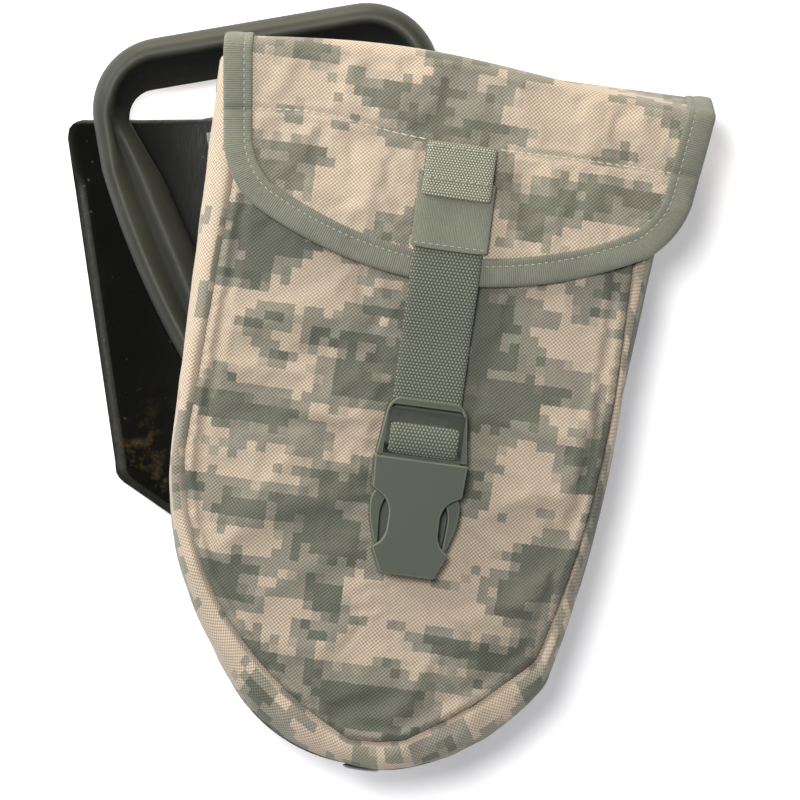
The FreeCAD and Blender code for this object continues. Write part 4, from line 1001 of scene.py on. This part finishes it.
def build_gusset():
    """The side band: up from the back, over a soft shoulder and down into the crease at the front's seam."""
    upright, shoulder, dip = 7, 8, 4
    along = lengths(SIDE_RING)
    rows = [[] for _ in range(upright + shoulder + dip)]
    marks = [[] for _ in rows]
    for s, low, high in zip(along, SIDE_RING, SEAM_RING):
        z0 = back_z(low.x) + 0.3
        crease = front_z(high.x) - 4.8
        crest = crease + 2.4
        strip = (high - low).length
        inward = (high - low if strip > 1 else Vector((0, 130)) - low).normalized()
        tuck = 2.2 * (1 - smooth((low.y - 18) / 26)) * (1 - 0.4 * bell(low.x - EYELET_X, 14.0))
        reach = max(strip - 2.2, 0.6)
        drop = min(9.0, (crest - z0) * 0.4)
        tip = bell((s - along[-1] * 0.5) / 70, 1.0)
        eyelet_calm = 1 - 0.9 * bell(low.x - EYELET_X, 13.0) * (1.0 if low.y < 20 else 0.0)
        line = []
        for k in range(upright):
            t = k / upright
            base = (1.2 - tuck) * (1 - smooth(t * 3)) + tuck if tuck < 1.2 else tuck
            line.append((low + inward * base, mix(z0, crest - drop, t)))
        for k in range(shoulder):
            angle = math.radians(90 * k / (shoulder - 1))
            lean = tuck + (reach - tuck) * (1 - math.cos(angle))
            line.append((low + inward * lean, crest - drop + drop * math.sin(angle)))
        for k in range(1, dip + 1):
            t = k / dip
            line.append((low + inward * mix(reach, max(strip, 0.6) + 0.5, t), mix(crest, crease, smooth(t))))
        total = 0.0
        for k, (p, z) in enumerate(line):
            share = k / (len(line) - 1)
            if k:
                total += math.hypot((p - line[k - 1][0]).length, z - line[k - 1][1])
            loose = math.sin(math.pi * share) * (0.5 + 1.1 * tip) * eyelet_calm
            crumple = 1.4 * ripple(s, total * 1.3, 15.0, 8.0) + 0.6 * ripple(s, total, 6.5, 9.0)
            q = p - inward * crumple * loose * (1 - 0.5 * smooth(share * 2))
            fine = 0.8 * tip * ripple(s, total * 0.5, 5.5, 14.0)
            rise = loose * (1.2 * ripple(s, total, 11.0, 4.0) + fine)
            rise += fold_height(q.x, q.y) * (1 - 0.4 * smooth((share - 0.8) * 5))
            rows[k].append((q.x, q.y, z + rise * smooth(share * 2)))
            marks[k].append((s, total))
        for uv in marks:
            uv[-1] = (s, uv[-1][1] - total + SEAM_PRINT)
    start, stop = below(SIDE_RING, MOUTH_Y + 8)
    rows = [row[start:stop] for row in rows]
    marks = [uv[start:stop] for uv in marks]
    band = loft("gusset_cloth", rows, pouch, uv=marks)
    thickened(band, 1.0, 0.0)
    smoothed(band)
    dress(band, "pouch", "gusset", "camo_fabric", "gusset")
    return band


END_LEFT, END_RIGHT, END_Y, END_TOP = 3.0, 79.0, 260.5, 51.4


def back_end():
    """The end of the back that stands up and closes the pouch below its mouth."""
    up, across = 8, 30
    rows, marks = [], []
    for k in range(up + 1):
        rise = k / up
        row = []
        for i in range(across + 1):
            x = mix(END_LEFT, END_RIGHT, i / across)
            foot = back_z(x) + 0.6
            bulge = 0.9 * math.sin(math.pi * rise) * (0.6 + ripple(x, rise * 20, 18.0, 61.0))
            row.append((x, END_Y - bulge, mix(foot, max(foot, END_TOP), rise)))
        rows.append(row)
        marks.append([(p[0], 262.0 + p[2]) for p in row])
    return loft("back_end", rows, pouch, uv=marks)


def build_back():
    """The back panel with its end that stands up, and its lining."""
    outline = SIDE_RING + closing(SIDE_RING, 50)
    flat = fabric("back_flat", outline, 5.0, lambda x, y: back_z(x) + 0.6 + 0.4 * ripple(x, y, 30.0, 5.0))
    panel = joined("back_cloth", [flat, back_end()])
    panel.data.polygons.foreach_set("use_smooth", [True] * len(panel.data.polygons))
    thickened(panel, 1.0, 0.0)
    dress(panel, "pouch", "back", "camo_fabric", "back_panel")
    inset = [p * 0.95 + Vector((0, 7.0)) for p in SIDE_RING if p.y < 240]
    inset += closing(inset, 30)
    inner = fabric("back_inner_cloth", inset, 7.0, lambda x, y: back_z(x) + 2.3)
    thickened(inner, 0.6)
    dress(inner, "pouch", "lining", "lining_fabric", "back_lining")
    return panel, inner


def seam_band(name, ring, level, node):
    """A tape folded over the seam allowance inside the pouch."""
    middle = Vector((0, 128))
    path = [middle + (p - middle) * 0.962 for p in ring if p.y < 240]
    rows, marks = [], []
    total = lengths(path)
    for depth, inset in ((0.0, 0.0), (2.0, 0.4), (6.0, 0.3), (8.0, 0.0), (8.0, 0.8), (4.0, 1.1), (0.0, 0.8)):
        row = []
        for p in path:
            q = p * (1 - inset * 0.01)
            row.append((q.x, q.y, level(p.x, depth)))
        rows.append(row)
        marks.append([(s, depth) for s in total])
    tape = loft(name, rows, pouch, uv=marks)
    dress(tape, "pouch", "binding", "binding", node)


front_cloth, front_inner = build_front()
gusset_cloth = build_gusset()
back_cloth, back_inner = build_back()
seam_band("front_seam_binding", SEAM_RING, lambda x, depth: front_z(x) - 3.0 - depth, "front_seam_tape")
seam_band("back_seam_binding", SIDE_RING, lambda x, depth: back_z(x) + 2.6 + depth, "back_seam_tape")

MOUTH_FOLD = [(-9, 0.5), (-4, 0.7), (0, 0.5), (1, -0.6), (0, -1.9), (-4, -2.1), (-9, -1.9)]
mouth_path = spread([(MOUTH_Y + y, z) for y, z in MOUTH_FOLD], 1.5)
mouth_tape = strap("mouth_fold_tape", -76, 65, mouth_path, 0.5, across=30)
dress(mouth_tape, "pouch", "binding", "binding", "mouth_binding")

# ---------------------------------------------------------------- flap

FLAP_LEFT = [(-89, 254, None), (-84.6, 221, 35), (-72, 201, 155), (-0.5, 181.5, None)]
FLAP_RIGHT = [(0.5, 181.5, 155), (72, 201, 35), (84.6, 221, None), (89, 254, None)]
FLAP_EDGE = bent_path(FLAP_LEFT + FLAP_RIGHT, 2.0)
FLAP_CURVE = bent_path(FLAP_LEFT[1:] + FLAP_RIGHT[:-1], 2.0)
FLAP_WALL_FOOT = 52.2
FLAP_ROLL = 5.0
edge_near = edge_finder(FLAP_EDGE)


def flap_top_y(x):
    """The fold at the top of the flap is arched, higher at the left."""
    return 254.2 + 10.2 * math.exp(-((x + 27) / 78) ** 2)


def flap_surface(x, y):
    """Height of the flap's outer face, in front of the fold at its top."""
    calm = 1 - bell(x, 17.0) * smooth((232 - y) / 6)
    waves = (1.1 * ripple(x, y, 40.0, 21.0) + 0.45 * ripple(x, y, 13.0, 22.0)) * calm
    seam = -1.1 * bell(y - flap_stitch_y(x), 1.3) * smooth((abs(x) - 14) / 4)
    cushion = 1.3 * bell(y - 205, 16) * calm + 1.0 * bell(y - 243, 9)
    return front_z(x) + 3.2 + waves + seam + cushion


def flap_stitch_y(x):
    """The line of stitches across the flap dips towards the strap."""
    return 231.3 + 4.6 * bell(x + 56, 28) + 0.6 * bell(x - 50, 26)


def flap_half(v):
    """Half the width of the flap's cloth above its curved edge."""
    return mix(84.6, 88.0, max(0.0, min(1.0, (v - 221) / 33)))


def flap_height(x):
    """Where on the unrolled flap the foot of its wall is."""
    turn_y = flap_top_y(x) - FLAP_ROLL
    return turn_y + FLAP_ROLL * math.pi / 2 + flap_surface(x, turn_y) - FLAP_ROLL - FLAP_WALL_FOOT


def over_fold(x, v, out=0.0):
    """A point of the flap unrolled: x, the way up the flap v, and out above its face.

    Up to the fold v is y. Then the cloth rolls over the fold and runs down behind the pouch's mouth.
    """
    turn_y = flap_top_y(x) - FLAP_ROLL
    if v <= turn_y:
        return Vector((x, v, flap_surface(x, v) + out))
    level = flap_surface(x, turn_y) - FLAP_ROLL
    quarter = FLAP_ROLL * math.pi / 2
    angle = min(v - turn_y, quarter) / FLAP_ROLL
    down = max(0.0, v - turn_y - quarter)
    share = min(1.0, down / (level - FLAP_WALL_FOOT))
    radius = FLAP_ROLL + out
    y = turn_y + radius * math.sin(angle) + share * (261.0 - turn_y - FLAP_ROLL)
    return Vector((x, y, level + radius * math.cos(angle) - down))


def flap_held(x, y):
    """The flap's cloth is held at its edge, along its stitches, under the strap and below the fold."""
    edge = 1 - smooth((edge_near(x, y) - 9.0) / 3)
    sewn = bell(y - flap_stitch_y(x), 1.6)
    strapped = 0.8 * bell(x, 18) * smooth((236 - y) / 6)
    wall = 1.0 if y > flap_top_y(x) - 4 else 0.0
    return min(1.0, max(edge, sewn, strapped, wall))


def build_flap():
    """The flap's cloth from its curved edge over the fold to the foot of its wall, and its lining."""
    across, along = 90, 62
    bottom = resampled(FLAP_CURVE, across + 1)
    rows = [[] for _ in range(along + 1)]
    marks = [[] for _ in rows]
    for j in range(across + 1):
        a = 2 * j / across - 1
        low = bottom[j]
        top = flap_height(a * 86)
        for k in range(along + 1):
            v = mix(low.y, top, k / along)
            x = mix(low.x, a * flap_half(v), smooth((v - low.y) / 34))
            rows[k].append(over_fold(x, v))
            marks[k].append((x, v))
    cover = loft("flap_cloth", rows, pouch, uv=marks)
    relaxed(cover, flap_held, slack=0.03, pressure=0.5, cap=2.0)
    smoothed(cover)
    dress(cover, "flap", "flap", "camo_fabric", "flap")
    inner = resampled([p * 0.975 + Vector((0, 4.0)) for p in FLAP_EDGE], 160)
    inner += closing(inner, 40)
    lining = fabric("flap_inner_cloth", inner, 5.0, lambda x, y: flap_surface(x, y) - 2.4)
    dress(lining, "flap", "lining", "lining_fabric", "flap_lining")
    return cover, lining


def outward(path, i):
    """The direction out of the flap at a point of its edge."""
    a, b = path[max(0, i - 1)], path[min(len(path) - 1, i + 1)]
    along = Vector((b[0] - a[0], b[1] - a[1])).normalized()
    return Vector((along.y, -along.x))


STITCH_INSET = 6.3


def build_binding():
    """A tape folded over the flap's edge: its outer face, the fold and the face below, with its stitches."""
    left, right = Vector((-88.6, flap_height(-88.6))), Vector((87.6, flap_height(87.6)))
    path = resampled([left, Vector((-89.4, 262)), Vector((-89.2, 257))] + FLAP_EDGE +
                     [Vector((88.9, 257)), Vector((88.6, 262)), right], 420)
    # out from the edge and height over the flap, round the tape, with a dip along the stitches
    section = [(-9.3, 0.2), (-9.2, 1.0), (-8.4, 1.25), (-6.9, 1.25), (-STITCH_INSET, 0.95), (-5.7, 1.25),
               (-3.0, 1.4),
               (-0.2, 1.3), (0.9, 0.8), (1.3, -0.2), (1.2, -1.2), (0.4, -2.0), (-1.0, -2.3), (-5.0, -2.2),
               (-9.0, -2.0), (-9.0, -1.6), (-5.0, -1.8), (-0.8, -1.9), (0.4, -0.8), (-0.8, 0.4), (-5.0, 0.4),
               (-9.0, 0.1)]
    across = lengths([Vector(p) for p in section])
    total = lengths(path)
    rows, marks = [], []
    for i, p in enumerate(path):
        out = outward(path, i)
        width = 1.0 + 0.05 * ripple(total[i], 0, 30.0, 41.0)
        row = []
        for d, h in section:
            crimp = 0.12 * ripple(total[i], d, 3.2, 42.0) * smooth((h + 0.5) / 1.0)
            q = p + out * d * width
            row.append(over_fold(q.x, q.y, h + crimp))
        rows.append(row)
        marks.append([(total[i], s) for s in across])
    tape = loft("flap_edge_binding", rows, pouch, closed=True, caps=True, uv=marks)
    smoothed(tape)
    dress(tape, "flap", "binding", "binding", "flap_binding")
    line = []
    for i, p in enumerate(path):
        q = p - outward(path, i) * STITCH_INSET
        line.append(over_fold(q.x, q.y, 1.0))
    seam = stitches("binding_stitching", line[20:-20], 2.4, 1.7, 0.24)
    dress(seam, "flap", "thread", "binding")


def flap_line(name, places):
    """Stitches across the flap, at places from left to right."""
    path = []
    for x in places:
        y = flap_stitch_y(x)
        path.append(Vector((x, y, flap_surface(x, y) + 0.3)))
    dress(stitches(name, path, 3.2, 2.9, 0.32), "flap", "pale_thread", "binding")


flap_cloth, flap_inner = build_flap()
build_binding()
flap_line("flap_stitching_left", range(-79, -12, 2))
flap_line("flap_stitching_right", range(14, 79, 2))

# ---------------------------------------------------------------- strap, in the front's frame

STRAP_MIDDLE = -0.5
STRAP_LEFT, STRAP_RIGHT = -13.2, 12.2
STRAP_PATH = [(229, 4.6), (194, 4.7), (190, 6.0), (178, 5.8), (160, 3.2), (132, 2.9), (125.3, 3.0)]


def build_strap():
    """The strap with its end rolled round the buckle's bar, and the band and fold that are sewn to it."""
    run = strap("closure_strap_run", STRAP_LEFT, STRAP_RIGHT, spread(STRAP_PATH, 2.0), 1.6)
    around = []
    for k in range(41):
        angle = math.radians(-100 + 9.0 * k)
        around.append((123.3 - 6.3 * math.cos(angle), 7.2 + 4.1 * math.sin(angle)))
    roll = strap("closure_strap_roll", STRAP_LEFT, STRAP_RIGHT, around, 1.5)
    body = joined("closure_strap_webbing", [run, roll])
    smoothed(body)
    dress(body, "flap", "webbing", "webbing", "closure_strap")
    cover_path = spread([(219, 7.3), (212, 7.3), (196, 7.4), (192.4, 7.2)], 1.5)
    cover = strap("cover_band", -14.7, 13.7, cover_path, 1.0)
    smoothed(cover)
    dress(cover, "flap", "smooth_tape", "binding", "strap_cover_tape")
    fold = [(231.6, 8.0), (228, 9.1), (218, 9.4), (212.5, 9.5), (211.0, 8.9), (212.0, 8.2)]
    anchor = strap("anchor_webbing", STRAP_LEFT, STRAP_RIGHT, spread(fold, 1.2), 1.5)
    smoothed(anchor)
    dress(anchor, "flap", "anchor", "webbing", "strap_anchor")
    lines = [("anchor_stitching_high", 11.7, 229.6, 10.0, (2.4, 2.0, 0.24)),
             ("anchor_stitching_low", 11.7, 218.0, 10.45, (2.4, 2.0, 0.24)),
             ("cover_stitching", 13.5, 194.2, 8.0, (2.6, 1.8, 0.2))]
    for name, reach, y, z, (pitch, length, radius) in lines:
        path = [Vector((STRAP_MIDDLE + side * reach, y, z)) for side in (-1, 0, 1)]
        dress(stitches(name, path, pitch, length, radius, front), "flap", "thread", "binding")


build_strap()

# ---------------------------------------------------------------- buckle, in the front's frame

BUCKLE_EDGE = 0.6
BOTH_SIDES = ((-1, "left"), (1, "right"))
SOCKET_LOW, SOCKET_HIGH = 4.4, 9.6


def about_buckle(points):
    """The right half of an outline, and the same mirrored on the left."""
    right = [(STRAP_MIDDLE + p[0],) + tuple(p[1:]) for p in points]
    left = [(STRAP_MIDDLE - p[0],) + tuple(p[1:]) for p in reversed(points)]
    return right + left


def plate(name, points, radius, low, high, holes=()):
    """A plate of the buckle from the right half of its outline, with its corners rounded."""
    return moulding(name, rounded(about_buckle(points), radius), low, high, holes=holes)


def side_plate(name, points, side, low, high):
    """A plate on one side of the buckle, from its outline on the right."""
    path = [(STRAP_MIDDLE + side * x, y, radius) for x, y, radius in points]
    return moulding(name, rounded(path, 0), low, high)


def bevelled(obj):
    """Soft edges in a plastic a little lighter than the faces: a painted highlight."""
    soft = obj.modifiers.new("edges", "BEVEL")
    soft.width = BUCKLE_EDGE * MM
    soft.segments = 3
    soft.limit_method = "ANGLE"
    soft.angle_limit = math.radians(50)
    soft.use_clamp_overlap = False
    # the bevels take the second material, a painted highlight
    soft.material = 1
    return obj


def build_male():
    """The buckle's frame with the bar for the strap, and the root of its prongs."""
    outer = [(16.8, 116.6, 0.6), (16.2, 121.0, 2.0), (14.6, 134.6, 3.0), (11.6, 138.0, 2.4)]
    window = rounded(about_buckle([(13.6, 117.6, 0.4), (13.2, 134.0, 0.8), (12.4, 135.2, 0.6)]), 0)
    male = joined("buckle_male", [
        plate("buckle_male_frame", outer, 0, 4.3, 10.1, holes=[window]),
        plate("buckle_bar", [(13.8, 121.6), (13.8, 125.8)], 0.8, 5.6, 8.8),
        plate("buckle_root", [(14.6, 104.0), (14.6, 117.0)], 1.0, 5.1, 9.4),
        plate("buckle_shelf", [(13.8, 128.6), (13.2, 135.6)], 0.5, 4.0, 5.2),
    ])
    dress(bevelled(male), "flap", "buckle", "buckle_plastic", "buckle_frame")


def build_socket():
    """The buckle's female half, with room inside: a top and a floor with a core, a heel and two side walls
    between them.
    """
    toe = [(9.8, 73.9, 0.8), (13.4, 82.0, 0.6)]
    mouth = [(16.4, 104.4, 0.5), (17.0, 116.1, 0.4)]
    waist = [(13.8, 83.4, 0.4), (11.2, 85.2, 2.4), (9.5, 88.6, 3.0), (9.3, 97.0, 4.0), (11.2, 101.4, 3.0)]
    wall = [(16.8, 104.6, 0.5), (16.9, 116.0, 0.5), (14.9, 116.0, 0.5), (14.9, 104.6, 0.5)]
    parts = [
        plate("socket_moulding", toe + waist + mouth, 0, SOCKET_HIGH, 12.3),
        plate("socket_floor", toe + [(12.2, 90.0, 2.0), (13.2, 99.0, 2.0)] + mouth, 0, 2.3, SOCKET_LOW),
        plate("socket_core", [(8.2, 76.0), (8.2, 100.0)], 1.5, SOCKET_LOW, SOCKET_HIGH),
        plate("socket_heel", [(9.6, 74.2), (13.0, 82.4), (8.8, 85.0)], 0.8, SOCKET_LOW, SOCKET_HIGH),
    ]
    for side, name in BOTH_SIDES:
        parts.append(side_plate("socket_side_" + name, wall, side, SOCKET_LOW, SOCKET_HIGH))
    dress(bevelled(joined("buckle_female", parts)), "socket", "buckle", "buckle_plastic", "buckle_socket")


def build_prongs():
    """The two arms whose bulges show in the socket's side windows."""
    arm = [(13.6, 116.0, 0.5), (13.4, 106.0, 3.0), (16.6, 101.5, 3.0), (16.2, 94.0, 5.0), (13.2, 84.4, 0.9),
           (11.6, 84.0, 0.6), (12.2, 91.0, 2.0), (12.4, 97.0, 2.0), (10.4, 103.0, 3.0), (10.4, 116.0, 0.5)]
    for side, name in BOTH_SIDES:
        prong = bevelled(side_plate("buckle_prong_" + name, arm, side, 5.0, 9.4))
        dress(prong, "prong_" + name, "buckle", "buckle_plastic", "prong_" + name)


def build_tab():
    """The webbing that holds the socket to the front panel."""
    path = [(y, 1.6) for y in (108, 100, 92, 84)]
    tab = strap("socket_webbing", STRAP_LEFT, STRAP_RIGHT, path, 1.2)
    dress(tab, "socket", "webbing", "webbing", "socket_tab")


build_male()
build_socket()
build_prongs()
build_tab()

# ---------------------------------------------------------------- eyelet, belt loops, carry tape

def turned_ring(name, profile):
    """A ring square to the side band at the pouch's tip, from a closed profile of radius and y."""
    steps = 48
    rows = []
    for k in range(steps):
        angle = 2 * math.pi * k / steps
        rows.append([(EYELET_X + r * math.cos(angle), y + r * math.sin(angle) * EYELET_LEAN,
                      EYELET_Z + r * math.sin(angle) - y * EYELET_LEAN) for r, y in profile])
    rows.append(rows[0])
    return loft(name, rows, pouch, closed=True)


def build_eyelet():
    """The eyelet's flange and barrel, and the washer behind the band."""
    face = [(3.7, 1.2), (4.3, 0.7), (5.0, 0.6), (6.3, 1.0), (7.0, 1.7), (6.7, 2.2), (4.6, 2.4), (4.6, 9.6),
            (3.7, 9.6)]
    back = [(4.7, 8.4), (5.4, 8.1), (6.4, 8.4), (7.0, 9.0), (6.4, 9.4), (4.7, 9.4)]
    for name, profile, node in (("ring", face, "drain_eyelet"), ("back", back, "drain_eyelet_washer")):
        ring = smoothed(turned_ring("drain_eyelet_" + name, profile))
        dress(ring, "pouch", "eyelet", "eyelet_black", node)


WEBBING_BASE = BACK_LEVEL - 0.95
WEBBING_HALF = 12.7


def build_belt_loops():
    """Two loops of webbing under the pouch's back."""
    high, low = WEBBING_BASE, WEBBING_BASE - 2.0
    path = spread([(120, high), (131, high), (135, low), (177, low), (181, high), (192, high)], 2.5)
    loops = [strap("loop", x - WEBBING_HALF, x + WEBBING_HALF, path, 1.5, pouch) for x in (-66.0, -20.0)]
    dress(smoothed(joined("belt_loop_webbing", loops)), "pouch", "webbing", "webbing", "belt_loops")


def build_carry_tape():
    """A tape across the back whose end shows at the pouch's left edge."""
    width = (240, 243, 246, 249, 252)
    rows, marks = [], []
    for x in [-92.4, -92.1, -91.0, -88, -80] + list(range(-72, 1, 8)):
        tuck = 0.55 if x > -92.3 else 0.1
        z = WEBBING_BASE + 0.1 + 0.2 * ripple(x, 0, 9.0, 51.0)
        row = [(x, y, z + tuck) for y in width] + [(x, y, z - tuck) for y in width[::-1]]
        rows.append(row)
        marks.append([(p[1], x) for p in row])
    tape = loft("carry_tape_webbing", rows, pouch, closed=True, caps=True, uv=marks)
    dress(tape, "pouch", "smooth_tape", "webbing", "carry_tape")


build_eyelet()
build_belt_loops()
build_carry_tape()

# ---------------------------------------------------------------- CAD nodes that stay, with better finishes

KEPT_NODES = {
    "dark_steel": ("shaft_tube", "threaded_sleeve", "thrust_washer", "lock_nut", "blade_bracket"),
    "pin": ("blade_hinge_pin", "handle_hinge_pin", "blade_rivets"),
    "eyelet": ("guide_bushes",),
    "zinc": ("inner_link",),
}
for finish, node_names in KEPT_NODES.items():
    for node_name in node_names:
        node_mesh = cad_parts[node_name].data
        node_mesh.materials.clear()
        node_mesh.materials.append(MATERIALS[finish])

# ---------------------------------------------------------------- floor, light, camera, in metres

def build_floor():
    """A wide white paper floor."""
    size = 3.0
    corners = [(-size, -size, 0), (size, -size, 0), (size, size, 0), (-size, size, 0)]
    data = bpy.data.meshes.new("floor")
    data.from_pydata(corners, [], [(0, 1, 2, 3)])
    ground = bpy.data.objects.new("floor", data)
    ground.location.z = -0.0004
    bpy.context.scene.collection.objects.link(ground)
    paper = Shader("floor_paper", Base_Color=(0.86, 0.86, 0.88, 1), Roughness=0.9, Specular_IOR_Level=0.1,
                   Emission_Color=(0.96, 0.96, 1.0, 1), Emission_Strength=0.22)
    data.materials.append(paper.material)


def add_light(name, place, target, size, power, colour):
    """A round soft light that points at a target."""
    light = bpy.data.lights.new(name, "AREA")
    light.shape = "DISK"
    light.size = size
    light.energy = power
    light.color = colour
    obj = bpy.data.objects.new(name, light)
    obj.location = place
    aim = Vector(target) - Vector(place)
    obj.rotation_euler = aim.to_track_quat("-Z", "Y").to_euler()
    bpy.context.scene.collection.objects.link(obj)


def build_camera():
    """A long lens straight above the object."""
    camera = bpy.data.objects.new("camera", bpy.data.cameras.new("camera"))
    camera.location = (0.0039, -0.0046, 2.2)
    camera.data.lens = 263.25
    camera.data.sensor_width = 36
    camera.data.clip_end = 30
    bpy.context.scene.collection.objects.link(camera)
    bpy.context.scene.camera = camera


def build_world():
    world = bpy.data.worlds.new("studio")
    bpy.context.scene.world = world
    world.use_nodes = True
    background = world.node_tree.nodes["Background"]
    background.inputs[0].default_value = (0.93, 0.96, 1.0, 1)
    background.inputs[1].default_value = 0.38
    bpy.context.scene.view_settings.view_transform = "Standard"


build_floor()
add_light("key", (-0.17, 0.2, 1.72), (0, 0, 0), 0.35, 24.5, (1.0, 0.985, 0.96))
add_light("side", (-0.75, 0.55, 0.55), (0, 0, 0.03), 0.45, 7.0, (0.97, 0.98, 1.0))
add_light("warm", (-0.3, 1.2, 0.3), (-0.05, 0.1, 0.03), 0.6, 12.0, (1.0, 0.86, 0.66))
build_camera()
build_world()
